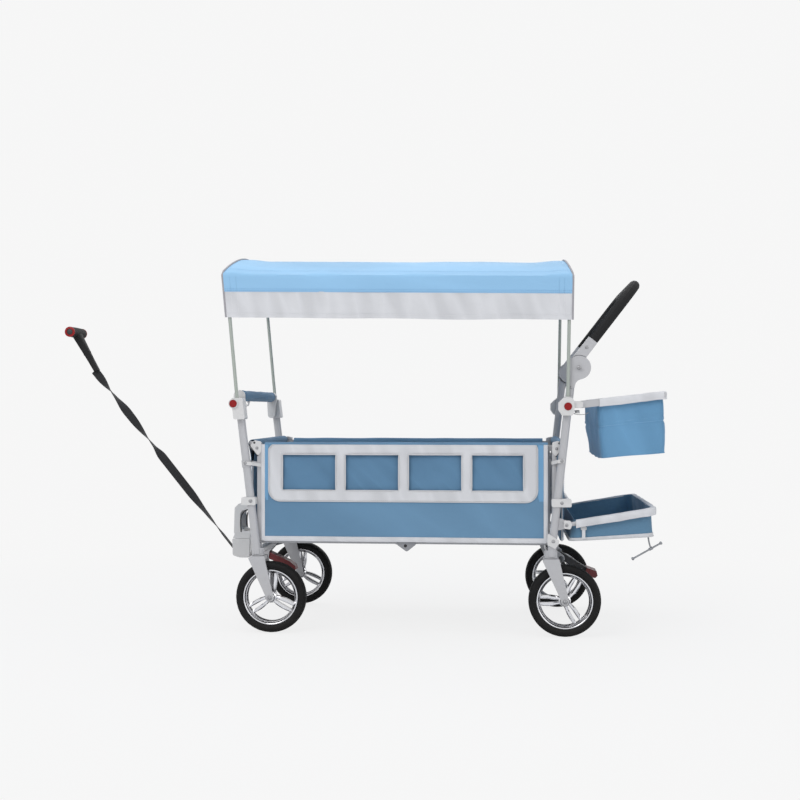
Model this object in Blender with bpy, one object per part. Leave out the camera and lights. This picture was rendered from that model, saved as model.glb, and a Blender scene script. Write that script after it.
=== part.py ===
"""A folding stroller wagon with a canopy, at real size, in metres.

+X points to the push-handle end, +Z is up and -Y is the near side. The world's origin is
on the ground under the middle of the whole length, pull handle included. Every piece is
drawn from the wagon's own middle, the centre hinge, which lies HINGE_X from there.
"""

import math

import bmesh
import bpy
from mathutils import Vector

# Whole wagon
HINGE_X = 0.1698
SEAT_GAP = 0.0003
PIN_GAP = 0.0003

# Folding tub: half rails between an end pivot and the centre hinge
HALF_RAIL = 0.414
LOWER_PIVOT_Z = 0.258
UPPER_PIVOT_Z = 0.520
HINGE_DROP = 0.014
RAIL_INNER_Y = 0.2235
RAIL_WIDTH = 0.018
RAIL_HEIGHT = 0.016
RAIL_PIN_RADIUS = 0.004
HINGE_PLATE = 0.0025
HINGE_PLATE_REACH = 0.040
HINGE_LUG_RADIUS = 0.009
BOARD_THICKNESS = 0.008
BOARD_START = 0.020
BOARD_GAP = 0.0003
BOARD_RIB = 0.010
BOARD_RIBS = 3
BOARD_RIB_CLEAR = 0.004

# End frames and fabric of the tub
END_POST_WIDTH = 0.010
END_POST_DEPTH = 0.012
END_POST_CLEAR = 0.002
END_BAR_OUT = 0.0215
END_BAR_Z = 0.530
END_BAR_RADIUS = 0.008
SLEEVE_WALL = 0.003
CLOTH = 0.006
TUB_BOTTOM_Z = 0.256
TUB_TOP_Z = 0.5315
SIDE_PANEL_Y = 0.247
SIDE_PANEL_HALF = HALF_RAIL - 0.016
LINK_Z = 0.479

# Wheels and forks
WHEEL_RADIUS = 0.100
TYRE_WIDTH = 0.040
RIM_RADIUS = 0.077
RIM_WIDTH = 0.030
RIM_INNER_RADIUS = 0.0665
HUB_RADIUS = 0.016
HUB_WIDTH = 0.045
AXLE_RADIUS = 0.005
SPOKE_PAIRS = 3
SPOKE_WIDTH = 0.0075
SPOKE_DEPTH = 0.011
WHEEL_SIDES = 32
WHEEL_Y = 0.254
STEM_X = HALF_RAIL - 0.0035
STEM_SHIFT = -0.0065
FORK_TRAIL = 0.038
FORK_ARM = 0.006
FORK_SIDE_GAP = 0.001
FORK_TOP_Z = 0.216
FORK_CROWN = 0.0115
FORK_TOP_WIDTH = 0.045
FORK_TIP_RADIUS = 0.011
STEM_RADIUS = 0.006
STEM_LENGTH = 0.018

# Upright posts
POST_Y = 0.265
TUBE_X = 0.0115
TUBE_Y = 0.010
FOOT_RADIUS = 0.018
FOOT_HEIGHT = 0.0215
FRONT_LEAN = -0.121
REAR_LEAN = 0.113
REAR_TOP_LEAN = 0.115
STAGE_Z = 0.465
STAGE_WALL = 0.002
STAGE_HEIGHT = 0.020
LOW_BAR_HEIGHT = 0.018
LOW_BAR_WIDTH = 0.022
MID_BAR_Z = 0.370
MID_BAR_OUT = 0.0385
MID_BAR_RADIUS = 0.008
CLAMP_HEIGHT = 0.022
CLAMP_WALL = 0.004

# Canopy sockets and their release buttons
SOCKET_BOTTOM_Z = 0.600
SOCKET_TOP_Z = 0.660
SOCKET_WIDTH = 0.032
SOCKET_INNER_Y = 0.2515
SOCKET_OUTER_Y = 0.2985
POLE_Y = 0.284
POLE_RADIUS = 0.005
POLE_DEPTH = 0.050
BUTTON_RADIUS = 0.0107
BUTTON_LENGTH = 0.006
BUTTON_PROUD = 0.002
BUTTON_TRAVEL = 0.0035
BUTTON_BOSS = 0.0135
FRONT_BUTTON_X = -(HALF_RAIL + 0.0656)
BUTTON_Z = 0.644
HUB_SOCKET_X = HALF_RAIL + 0.036
HUB_SOCKET_Z = 0.636
HUB_AHEAD = 0.0265
HUB_BEHIND = 0.0175
HUB_BELOW = 0.025
HUB_ABOVE = 0.0235
HUB_CORNER = 0.004
COLLAR_RADIUS = 0.010

# Canopy
FRONT_POLE_X = -(HALF_RAIL + 0.0575)
FRONT_POLE_LEAN = -0.093
REAR_POLE_X = HALF_RAIL + 0.036
REAR_POLE_LEAN = 0.018
EAVE_Z = 1.000
EAVE_FALL = 0.013
CROWN_RISE = 0.0655
CROWN_IN = 0.016
COVER_THICKNESS = 0.002
COVER_CLEAR = 0.0005
COVER_END_CLEAR = 0.0018
VALANCE_Z = 0.880
FAR_VALANCE_Z = 0.930

# Push handle
JOINT_X = HALF_RAIL + 0.067
JOINT_Z = 0.743
JOINT_RADIUS = 0.033
JOINT_SHIELD = 0.0085
HANDLE_Y = 0.261
HANDLE_FOOT_X = HALF_RAIL + 0.0545
HANDLE_FOOT_Z = 0.7526
HANDLE_TOP_X = HALF_RAIL + 0.225
HANDLE_TOP_Z = 0.9745
HANDLE_TUBE = 0.011
GRIP_RADIUS = 0.015
GRIP_START = 0.300
HANDLE_CORNER = 0.070

# Front grip bar
BAR_X = -(HALF_RAIL + 0.060)
BAR_Z = 0.667
BAR_RADIUS = 0.009
BAR_SLEEVE = 0.015
BAR_SLEEVE_HALF = 0.222
BAR_BRACKET_Y = 0.234
BAR_BRACKET = 0.0125
BAR_PIVOT_X = -(HALF_RAIL + 0.061)
BAR_PIVOT_Z = 0.611

# Rear pouch
POUCH_PIVOT_X = HALF_RAIL + 0.069
POUCH_PIVOT_Z = 0.641
POUCH_END_X = HALF_RAIL + 0.302
POUCH_RISE = 0.128
POUCH_ARM_Y = 0.268
POUCH_ARM = 0.0105
POUCH_ARM_HEIGHT = 0.020
POUCH_FRONT_X = HALF_RAIL + 0.131
POUCH_BOTTOM_Z = 0.497
POUCH_WALL = 0.003

# Rear tray
TRAY_PIVOT_X = HALF_RAIL + 0.0325
TRAY_PIVOT_Z = 0.3103
TRAY_RISE = 0.171
TRAY_END_X = HALF_RAIL + 0.277
TRAY_TUBE = 0.006
TRAY_TUBE_SIDES = 10
TRAY_TUBE_Y = 0.2765
TRAY_FRONT_X = HALF_RAIL + 0.050
TRAY_BOTTOM_Z = 0.268
TRAY_WALL = 0.004
TRAY_LUG = 0.006
TRAY_ROD_RADIUS = 0.003
TRAY_KNOB_RADIUS = 0.0052

# Tow housing, pull strap and pull handle
TOW_HALF = 0.045
TOW_WALL = 0.004
STRAP_PIN_X = -(HALF_RAIL + 0.122)
STRAP_PIN_Z = 0.196
STRAP_PIN_RADIUS = 0.0035
STRAP_WIDTH = 0.025
STRAP_THICKNESS = 0.0024
STRAP_END_X = -(HALF_RAIL + 0.5676)
STRAP_END_Z = 0.7497
PULL_GRIP_X = -(HALF_RAIL + 0.6254)
PULL_GRIP_Z = 0.8638
PULL_GRIP_RADIUS = 0.0165
PULL_GRIP_HALF = 0.056
PULL_ARM_DEPTH = 0.022

# Foot pedals
BRAKE_X = HALF_RAIL + 0.026
BRAKE_Z = 0.196
BRAKE_SHAFT = 0.006
BRAKE_EAR_Y = 0.080
BRAKE_EAR = 0.008
PEDAL_HALF = 0.035
SWIVEL_X = -(HALF_RAIL + 0.026)
SWIVEL_Z = 0.190
SWIVEL_HALF = 0.020

MATERIALS = {}


def clear_scene():
    for thing in list(bpy.data.objects):
        bpy.data.objects.remove(thing)


def material(name, colour, roughness, metallic=0.0):
    made = bpy.data.materials.new(name)
    made.use_nodes = True
    shader = made.node_tree.nodes["Principled BSDF"]
    shader.inputs["Base Color"].default_value = (*colour, 1.0)
    shader.inputs["Roughness"].default_value = roughness
    shader.inputs["Metallic"].default_value = metallic
    MATERIALS[name] = made


def make_materials():
    material("white_paint", (0.62, 0.62, 0.64), 0.35)
    material("white_plastic", (0.72, 0.71, 0.68), 0.45)
    material("grey_plastic", (0.20, 0.20, 0.22), 0.55)
    material("blue_cloth", (0.15, 0.32, 0.55), 0.90)
    material("pale_cloth", (0.30, 0.53, 0.78), 0.85)
    material("black_foam", (0.015, 0.015, 0.016), 0.80)
    material("black_webbing", (0.025, 0.025, 0.027), 0.85)
    material("rubber", (0.012, 0.012, 0.013), 0.75)
    material("chrome", (0.75, 0.75, 0.77), 0.12, 1.0)
    material("pole_steel", (0.46, 0.50, 0.46), 0.40, 0.2)
    material("red_plastic", (0.45, 0.015, 0.015), 0.40)


# Shapes, each returned as a bmesh

def from_loops(loops, closed):
    """Skins loops of equal length, one after the other; the ends are capped or joined."""
    shape = bmesh.new()
    rings = [[shape.verts.new(point) for point in loop] for loop in loops]
    pairs = list(zip(rings, rings[1:]))
    if closed:
        pairs.append((rings[-1], rings[0]))
    count = len(rings[0])
    for first, second in pairs:
        for i in range(count):
            j = (i + 1) % count
            shape.faces.new((first[i], first[j], second[j], second[i]))
    if not closed:
        shape.faces.new(rings[0][::-1])
        shape.faces.new(rings[-1])
    bmesh.ops.recalc_face_normals(shape, faces=shape.faces)
    return shape


def prism(outline, low, high, along="y"):
    """A flat outline pushed from low to high along one axis."""
    place = {
        "x": lambda p, t: (t, p[0], p[1]),
        "y": lambda p, t: (p[0], t, p[1]),
        "z": lambda p, t: (p[0], p[1], t),
    }[along]
    return from_loops([[place(p, t) for p in outline] for t in (low, high)], False)


def box(x, y, z):
    return prism([(x[0], z[0]), (x[1], z[0]), (x[1], z[1]), (x[0], z[1])], y[0], y[1])


def circle(centre, radius, sides=16, start=0.0, turn=math.tau):
    """Points of a circle, or of an arc when turn is less than a full one."""
    full = abs(abs(turn) - math.tau) < 1e-9
    steps = sides if full else sides + 1
    angles = [start + turn * i / sides for i in range(steps)]
    return [(centre[0] + radius * math.cos(a), centre[1] + radius * math.sin(a)) for a in angles]


def cylinder(start, end, radius, sides=16):
    """A straight rod between two points."""
    start, end = Vector(start), Vector(end)
    along = (end - start).normalized()
    across = along.orthogonal().normalized()
    if abs(along.y) > 0.99:
        across = Vector((1, 0, 0))
    up = along.cross(across)
    ring = [across * c + up * s for c, s in circle((0, 0), radius, sides, math.pi / sides)]
    return from_loops([[start + p for p in ring], [end + p for p in ring]], False)


def turned(profile, centre, sides=WHEEL_SIDES):
    """A closed ring profile of (y, radius) turned about the Y axis through centre (x, y, z)."""
    loops = []
    for i in range(sides):
        angle = math.tau * (i + 0.5) / sides
        c, s = math.cos(angle), math.sin(angle)
        loops.append([(centre[0] + r * c, centre[1] + t, centre[2] + r * s) for t, r in profile])
    return from_loops(loops, True)


def rounded(points, radius, steps=5, closed=False):
    """The same corners, each turned into an arc that runs into both its sides."""
    points = [Vector(p) for p in points]
    count = len(points)
    made = []
    for i, corner in enumerate(points):
        if not closed and i in (0, count - 1):
            made.append(corner)
            continue
        back = (points[i - 1] - corner).normalized()
        ahead = (points[(i + 1) % count] - corner).normalized()
        half = back.angle(ahead) / 2
        centre = corner + (back + ahead).normalized() * radius / math.sin(half)
        reach = radius / math.tan(half)
        first = corner + back * reach - centre
        last = corner + ahead * reach - centre
        turn = first.angle(last)
        for k in range(steps + 1):
            share = k / steps
            mixed = first * math.sin((1 - share) * turn) + last * math.sin(share * turn)
            made.append(centre + mixed / math.sin(turn))
    return made


def sweep(path, normal, section):
    """A section of (across, along normal) points carried along a path that lies in one plane."""
    path = [Vector(p) for p in path]
    normal = Vector(normal).normalized()
    loops = []
    for i, point in enumerate(path):
        ahead = (path[min(i + 1, len(path) - 1)] - point)
        back = (point - path[max(i - 1, 0)])
        tangent = ahead.normalized() + back.normalized()
        tangent.normalize()
        across = normal.cross(tangent).normalized()
        side = ahead if ahead.length > 0 else back
        stretch = 1 / max(abs(tangent.dot(side.normalized())), 0.5)
        loops.append([point + across * (a * stretch) + normal * b for a, b in section])
    return loops


def tube(path, normal, across, through=None, sides=12):
    """A solid tube of an oval section: across in the path's plane, through it out of the plane."""
    through = across if through is None else through
    section = [(across * math.cos(a), through * math.sin(a)) for a in
               (math.tau * (i + 0.5) / sides for i in range(sides))]
    return from_loops(sweep(path, normal, section), False)


def hollow_tube(path, normal, radius, bore, sides=12):
    """A round tube with an open bore."""
    angles = [math.tau * (i + 0.5) / sides for i in range(sides)]
    outer = sweep(path, normal, [(radius * math.cos(a), radius * math.sin(a)) for a in angles])
    inner = sweep(path, normal, [(bore * math.cos(a), bore * math.sin(a)) for a in angles])
    shape = from_loops(outer + inner[::-1], True)
    return shape


# Pieces, made of shapes

def place_empty(name, at, parent=None):
    """An empty on a joint's axis, which carries the pieces that move about it."""
    empty = bpy.data.objects.new(name, None)
    bpy.context.scene.collection.objects.link(empty)
    origin = Vector(at)
    empty["at"] = list(origin)
    if parent is not None:
        empty.parent = parent
        origin = origin - Vector(parent["at"])
    else:
        origin = origin + Vector((HINGE_X, 0, 0))
    empty.location = origin
    return empty


def helper(shape):
    mesh = bpy.data.meshes.new("shape")
    shape.to_mesh(mesh)
    shape.free()
    made = bpy.data.objects.new("shape", mesh)
    bpy.context.scene.collection.objects.link(made)
    return made


def piece(name, finish, carrier, shapes, cuts=(), smooth=40.0):
    """Joins shapes, takes cuts out of them and hangs the piece on its carrier."""
    base = helper(shapes[0])
    others = []
    work = [("UNION", s) for s in shapes[1:]] + [("DIFFERENCE", s) for s in cuts]
    for operation, shape in work:
        other = helper(shape)
        others.append(other)
        step = base.modifiers.new(operation.lower(), "BOOLEAN")
        step.operation = operation
        step.object = other
    bpy.context.view_layer.update()
    graph = bpy.context.evaluated_depsgraph_get()
    mesh = bpy.data.meshes.new_from_object(base.evaluated_get(graph))
    for thing in others + [base]:
        bpy.data.objects.remove(thing)
    mesh.name = name
    mesh.materials.clear()
    mesh.materials.append(MATERIALS[finish])
    mesh.shade_smooth()
    mesh.set_sharp_from_angle(angle=math.radians(smooth))
    for vertex in mesh.vertices:
        vertex.co = vertex.co - Vector(carrier["at"])
    made = bpy.data.objects.new(name, mesh)
    bpy.context.scene.collection.objects.link(made)
    made.parent = carrier
    return made


def side_name(side):
    return "near" if side < 0 else "far"


def span(side, low, high):
    """The Y limits of something that lies from low to high out from the middle, on one side."""
    return (side * low, side * high) if side > 0 else (-high, -low)


# Where the posts stand

FRONT_STEM_X = STEM_SHIFT - STEM_X
REAR_STEM_X = STEM_SHIFT + STEM_X
FOOT_BOTTOM_Z = FORK_TOP_Z + SEAT_GAP
FOOT_TOP_Z = FOOT_BOTTOM_Z + FOOT_HEIGHT
RAIL_OUTER_Y = RAIL_INNER_Y + RAIL_WIDTH
POST_INNER_Y = RAIL_OUTER_Y + END_POST_CLEAR
POST_OUTER_Y = POST_INNER_Y + END_POST_WIDTH


def front_post_x(z):
    return FRONT_STEM_X + FRONT_LEAN * (z - FOOT_BOTTOM_Z)


def rear_post_x(z):
    return REAR_STEM_X + REAR_LEAN * (z - FOOT_BOTTOM_Z)


def front_pole_x(z):
    return FRONT_POLE_X + FRONT_POLE_LEAN * (z - SOCKET_TOP_Z)


def rear_pole_x(z):
    return REAR_POLE_X + REAR_POLE_LEAN * (z - SOCKET_TOP_Z)


# Wheels and forks

def spoke(angle, side, centre):
    """One curved arm of a pair: it leaves the hub beside its twin and spreads towards the rim."""
    steps = 5
    inner, outer = HUB_RADIUS * 0.7, RIM_INNER_RADIUS + 0.003
    left, right = [], []
    for i in range(steps + 1):
        share = i / steps
        radius = inner + (outer - inner) * share
        offset = side * (0.0045 + 0.0135 * share ** 1.7)
        width = SPOKE_WIDTH * (1.15 - 0.35 * math.sin(math.pi * share)) / 2
        for edge, list_of in ((offset - width, left), (offset + width, right)):
            x = radius * math.cos(angle) - edge * math.sin(angle)
            z = radius * math.sin(angle) + edge * math.cos(angle)
            list_of.append((centre[0] + x, centre[2] + z))
    middle = centre[1]
    return prism(left + right[::-1], middle - SPOKE_DEPTH / 2, middle + SPOKE_DEPTH / 2)


def wheel(end, side, carrier, hub_x):
    name = f"{end}_{side_name(side)}"
    centre = (hub_x, side * WHEEL_Y, WHEEL_RADIUS)
    flat_radius = WHEEL_RADIUS / math.cos(math.pi / WHEEL_SIDES)
    half = TYRE_WIDTH / 2
    seat = RIM_RADIUS + SEAT_GAP
    lip = RIM_WIDTH / 2
    wall = [(lip, seat), (half - 0.001, seat + 0.005), (half, 0.089), (half - 0.0035, 0.0965),
            (half - 0.011, flat_radius)]
    profile = wall + [(-t, r) for t, r in wall[::-1]]
    piece(f"tyre_{name}", "rubber", carrier, [turned(profile, centre)], smooth=30)

    ring = [(lip, RIM_RADIUS), (lip, RIM_INNER_RADIUS + 0.0045), (lip - 0.007, RIM_INNER_RADIUS)]
    ring = ring + [(-t, r) for t, r in ring[::-1]]
    y_low, y_high = centre[1] - HUB_WIDTH / 2, centre[1] + HUB_WIDTH / 2
    hub = cylinder((centre[0], y_low, centre[2]), (centre[0], y_high, centre[2]), HUB_RADIUS)
    bore = cylinder((centre[0], y_low - 0.01, centre[2]), (centre[0], y_high + 0.01, centre[2]),
                    AXLE_RADIUS + PIN_GAP, 12)
    spokes = []
    for i in range(SPOKE_PAIRS):
        angle = math.radians(82) + math.tau * i / SPOKE_PAIRS
        spokes += [spoke(angle, 1, centre), spoke(angle, -1, centre)]
    piece(f"rim_{name}", "chrome", carrier, [turned(ring, centre), hub] + spokes, [bore])


def fork(end, side, carrier, stem_x):
    hub_x = stem_x + FORK_TRAIL
    y = side * WHEEL_Y
    inner = HUB_WIDTH / 2 + FORK_SIDE_GAP
    outer = inner + FORK_ARM
    front, back = stem_x - FORK_TOP_WIDTH / 2, stem_x + FORK_TOP_WIDTH / 2
    tip = circle((hub_x, WHEEL_RADIUS), FORK_TIP_RADIUS, 8, math.radians(14), -math.radians(208))
    outline = [(front, FORK_TOP_Z - 0.006), (front + 0.006, FORK_TOP_Z), (back, FORK_TOP_Z)]
    outline += tip
    shapes = [
        box((front + 0.004, back - 0.001), (y - outer + 0.001, y + outer - 0.001),
            (FORK_TOP_Z - FORK_CROWN, FORK_TOP_Z - 0.0004)),
        prism(outline, y + inner, y + outer),
        prism(outline, y - outer, y - inner),
        cylinder((hub_x, y - outer - 0.002, WHEEL_RADIUS), (hub_x, y + outer + 0.002, WHEEL_RADIUS),
                 AXLE_RADIUS, 12),
        cylinder((stem_x, y, FORK_TOP_Z - 0.008), (stem_x, y, FORK_TOP_Z + STEM_LENGTH),
                 STEM_RADIUS, 12),
    ]
    piece(f"fork_{end}_{side_name(side)}", "white_paint", carrier, shapes)


# Posts, bars and end frames

def foot(stem_x, side):
    """The round bearing block at the foot of a post, and the bore that takes the fork's stem."""
    y = side * WHEEL_Y
    block = cylinder((stem_x, y, FOOT_BOTTOM_Z), (stem_x, y, FOOT_TOP_Z), FOOT_RADIUS, 20)
    bore = cylinder((stem_x, y, FOOT_BOTTOM_Z - 0.01),
                    (stem_x, y, FORK_TOP_Z + STEM_LENGTH + PIN_GAP), STEM_RADIUS + PIN_GAP, 12)
    return block, bore


def front_upright(side, carrier):
    top = SOCKET_BOTTOM_Z + 0.012
    y = side * POST_Y
    block, bore = foot(FRONT_STEM_X, side)
    post = tube([(front_post_x(z), y, z) for z in (FOOT_BOTTOM_Z + 0.005, top)], (0, 1, 0),
                TUBE_X, TUBE_Y)
    stage = tube([(front_post_x(z), y, z) for z in (STAGE_Z, STAGE_Z + STAGE_HEIGHT)], (0, 1, 0),
                 TUBE_X + STAGE_WALL, TUBE_Y + STAGE_WALL / 2)
    piece(f"upright_front_{side_name(side)}", "white_paint", carrier, [post, block, stage], [bore])


def rear_upright(side, carrier):
    y = side * POST_Y
    bend_z = SOCKET_BOTTOM_Z
    top_z = JOINT_Z + 0.012

    def top_x(rise):
        """The upper post's line at a height above the joint's centre."""
        return rear_post_x(bend_z) + REAR_TOP_LEAN * (JOINT_Z + rise - bend_z)

    low = (rear_post_x(FOOT_BOTTOM_Z + 0.005), y, FOOT_BOTTOM_Z + 0.005)
    bend = (rear_post_x(bend_z), y, bend_z)
    top = (top_x(top_z - JOINT_Z), y, top_z)
    block, bore = foot(REAR_STEM_X, side)
    post = tube([low, bend, top], (0, 1, 0), TUBE_X, TUBE_Y)
    y_in, y_out = POST_Y + TUBE_Y - JOINT_SHIELD, POST_Y + TUBE_Y
    shield = cylinder((JOINT_X, side * y_in, JOINT_Z), (JOINT_X, side * y_out, JOINT_Z),
                      JOINT_RADIUS, 28)
    edge = TUBE_X - 0.0005
    cheek = prism([(top_x(-0.060) - edge, JOINT_Z - 0.060), (top_x(-0.056) + edge, JOINT_Z - 0.056),
                   (top_x(-0.043) + edge + 0.002, JOINT_Z - 0.043),
                   (top_x(-0.036) + edge + 0.007, JOINT_Z - 0.036),
                   (JOINT_X + 0.010, JOINT_Z - 0.030), (JOINT_X, JOINT_Z),
                   (JOINT_X - 0.0264, JOINT_Z + 0.0205), (top_x(0.008) - edge, JOINT_Z + 0.008)],
                  side * (y_in + 0.0005), side * (y_out - 0.0005))
    lug_y = (POST_Y - TRAY_LUG / 2, POST_Y + TRAY_LUG / 2)
    lug = prism([(rear_post_x(0.29), 0.292), (TRAY_PIVOT_X, TRAY_PIVOT_Z - 0.011),
                 (TRAY_PIVOT_X + 0.008, TRAY_PIVOT_Z - 0.006),
                 (TRAY_PIVOT_X + 0.008, TRAY_PIVOT_Z + 0.006),
                 (TRAY_PIVOT_X, TRAY_PIVOT_Z + 0.011), (rear_post_x(0.33), 0.332)],
                side * lug_y[0], side * lug_y[1])
    pin = cylinder((TRAY_PIVOT_X, side * (lug_y[1] - 0.001), TRAY_PIVOT_Z),
                   (TRAY_PIVOT_X, side * (TRAY_TUBE_Y + TRAY_TUBE), TRAY_PIVOT_Z), 0.0035, 10)
    tongue_clear = cylinder((JOINT_X, side * (POST_Y - 0.02), JOINT_Z),
                            (JOINT_X, side * (y_in), JOINT_Z), JOINT_RADIUS + 0.0015, 28)
    piece(f"upright_rear_{side_name(side)}", "white_paint", carrier,
          [post, block, shield, cheek, lug, pin], [bore, tongue_clear])


def low_bar(name, stem_x, carrier, extras=(), cuts=()):
    half = WHEEL_Y - FOOT_RADIUS - SEAT_GAP
    top = FOOT_BOTTOM_Z + 0.002 + LOW_BAR_HEIGHT
    middle = top - LOW_BAR_HEIGHT / 2
    w, h = LOW_BAR_WIDTH / 2, LOW_BAR_HEIGHT / 2
    outline = rounded([(stem_x - w, middle - h, 0), (stem_x + w, middle - h, 0),
                       (stem_x + w, middle + h, 0), (stem_x - w, middle + h, 0)], 0.004, 2, True)
    bar = prism([(p[0], p[1]) for p in outline], -half, half)
    piece(name, "white_paint", carrier, [bar, *extras], cuts)


def mid_bar(end, out, post_x, lean, carrier):
    """A round bar across the wagon, with a clamp block on each post."""
    bar_x = out * (HALF_RAIL + MID_BAR_OUT)
    low, high = MID_BAR_Z - CLAMP_HEIGHT / 2, MID_BAR_Z + CLAMP_HEIGHT / 2
    inner, outer = POST_OUTER_Y + 0.0005, POST_Y + TUBE_Y + CLAMP_WALL
    shapes = [cylinder((bar_x, -inner - 0.004, MID_BAR_Z), (bar_x, inner + 0.004, MID_BAR_Z),
                       MID_BAR_RADIUS, 12)]
    cuts = []
    near_x = post_x(MID_BAR_Z) - out * (TUBE_X + CLAMP_WALL)
    far_x = bar_x + out * MID_BAR_RADIUS
    left, right = min(near_x, far_x), max(near_x, far_x)
    corners = [(left, low, 0), (right, low, 0), (right, high, 0), (left, high, 0)]
    block = [(p[0], p[1]) for p in rounded(corners, 0.004, 2, True)]
    for side in (-1, 1):
        shapes.append(prism(block, side * inner, side * outer))
        cuts.append(tube([(post_x(z), side * POST_Y, z) for z in (low - 0.01, high + 0.01)],
                         (0, 1, 0), TUBE_X + SEAT_GAP, TUBE_Y + SEAT_GAP))
    piece(f"mid_bar_{end}", "white_plastic", carrier, shapes, cuts)


def end_frame(end, out, post_x, carrier):
    """Two posts inside the uprights, the rim bar between them, the hinge pins and the links."""
    x_pivot = out * HALF_RAIL
    bar_x = out * (HALF_RAIL + END_BAR_OUT)
    half = END_POST_DEPTH / 2
    foot_z = FOOT_TOP_Z + SEAT_GAP
    top_z = END_BAR_Z + END_BAR_RADIUS
    outline = [(x_pivot - out * half, foot_z), (x_pivot + out * half, foot_z),
               (x_pivot + out * half, END_BAR_Z - 0.030),
               (bar_x + out * END_BAR_RADIUS, END_BAR_Z - 0.008),
               (bar_x + out * END_BAR_RADIUS, top_z - 0.003),
               (bar_x + out * (END_BAR_RADIUS - 0.003), top_z), (x_pivot, top_z),
               (x_pivot - out * half, top_z - 0.006)]
    link_x = post_x(LINK_Z)
    link = [(x_pivot, LINK_Z - 0.012), (x_pivot, LINK_Z), (link_x, LINK_Z + 0.006),
            (link_x + out * 0.005, LINK_Z), (link_x, LINK_Z - 0.006)]
    shapes = [cylinder((bar_x, -POST_INNER_Y - 0.003, END_BAR_Z),
                       (bar_x, POST_INNER_Y + 0.003, END_BAR_Z), END_BAR_RADIUS, 12)]
    for side in (-1, 1):
        shapes.append(prism(outline, side * POST_INNER_Y, side * POST_OUTER_Y))
        shapes.append(prism(link, side * (POST_INNER_Y + 0.003), side * (POST_OUTER_Y - 0.0005)))
        shapes.append(cylinder((link_x, side * (POST_OUTER_Y - 0.004), LINK_Z),
                               (link_x, side * (POST_Y - TUBE_Y - STAGE_WALL / 2 - SEAT_GAP), LINK_Z),
                               0.0045, 10))
        for z in (LOWER_PIVOT_Z, UPPER_PIVOT_Z):
            shapes.append(cylinder((x_pivot, side * (POST_INNER_Y + 0.003), z),
                                   (x_pivot, side * (RAIL_INNER_Y - 0.001), z),
                                   RAIL_PIN_RADIUS, 10))
    piece(f"end_frame_{end}", "white_paint", carrier, shapes)


def end_wall(end, out, carrier):
    """The tub's end cloth: a flat wall with a sleeve round the rim bar."""
    bar_x = out * (HALF_RAIL + END_BAR_OUT)
    half = POST_INNER_Y - 0.001
    wall = box((bar_x - CLOTH / 2, bar_x + CLOTH / 2), (-half, half),
               (TUB_BOTTOM_Z + 0.006, END_BAR_Z - 0.002))
    bore = END_BAR_RADIUS + SEAT_GAP
    sleeve = cylinder((bar_x, -half, END_BAR_Z), (bar_x, half, END_BAR_Z), bore + SLEEVE_WALL, 12)
    inside = cylinder((bar_x, -half - 0.01, END_BAR_Z), (bar_x, half + 0.01, END_BAR_Z), bore, 12)
    piece(f"end_wall_{end}", "blue_cloth", carrier, [wall, sleeve], [inside])


def side_panel(side, carrier):
    """The tub's side cloth, hung over the upper rails by its top edge."""
    rail_top = UPPER_PIVOT_Z + RAIL_HEIGHT / 2
    inner, outer = SIDE_PANEL_Y, SIDE_PANEL_Y + CLOTH
    outline = [(side * outer, TUB_BOTTOM_Z), (side * outer, TUB_TOP_Z),
               (side * (RAIL_INNER_Y - 0.001), TUB_TOP_Z),
               (side * (RAIL_INNER_Y - 0.001), rail_top + SEAT_GAP),
               (side * inner, rail_top + SEAT_GAP), (side * inner, TUB_BOTTOM_Z)]
    piece(f"side_panel_{side_name(side)}", "blue_cloth", carrier,
          [prism(outline, -SIDE_PANEL_HALF, SIDE_PANEL_HALF, "x")])


# Folding rails and floor

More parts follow.
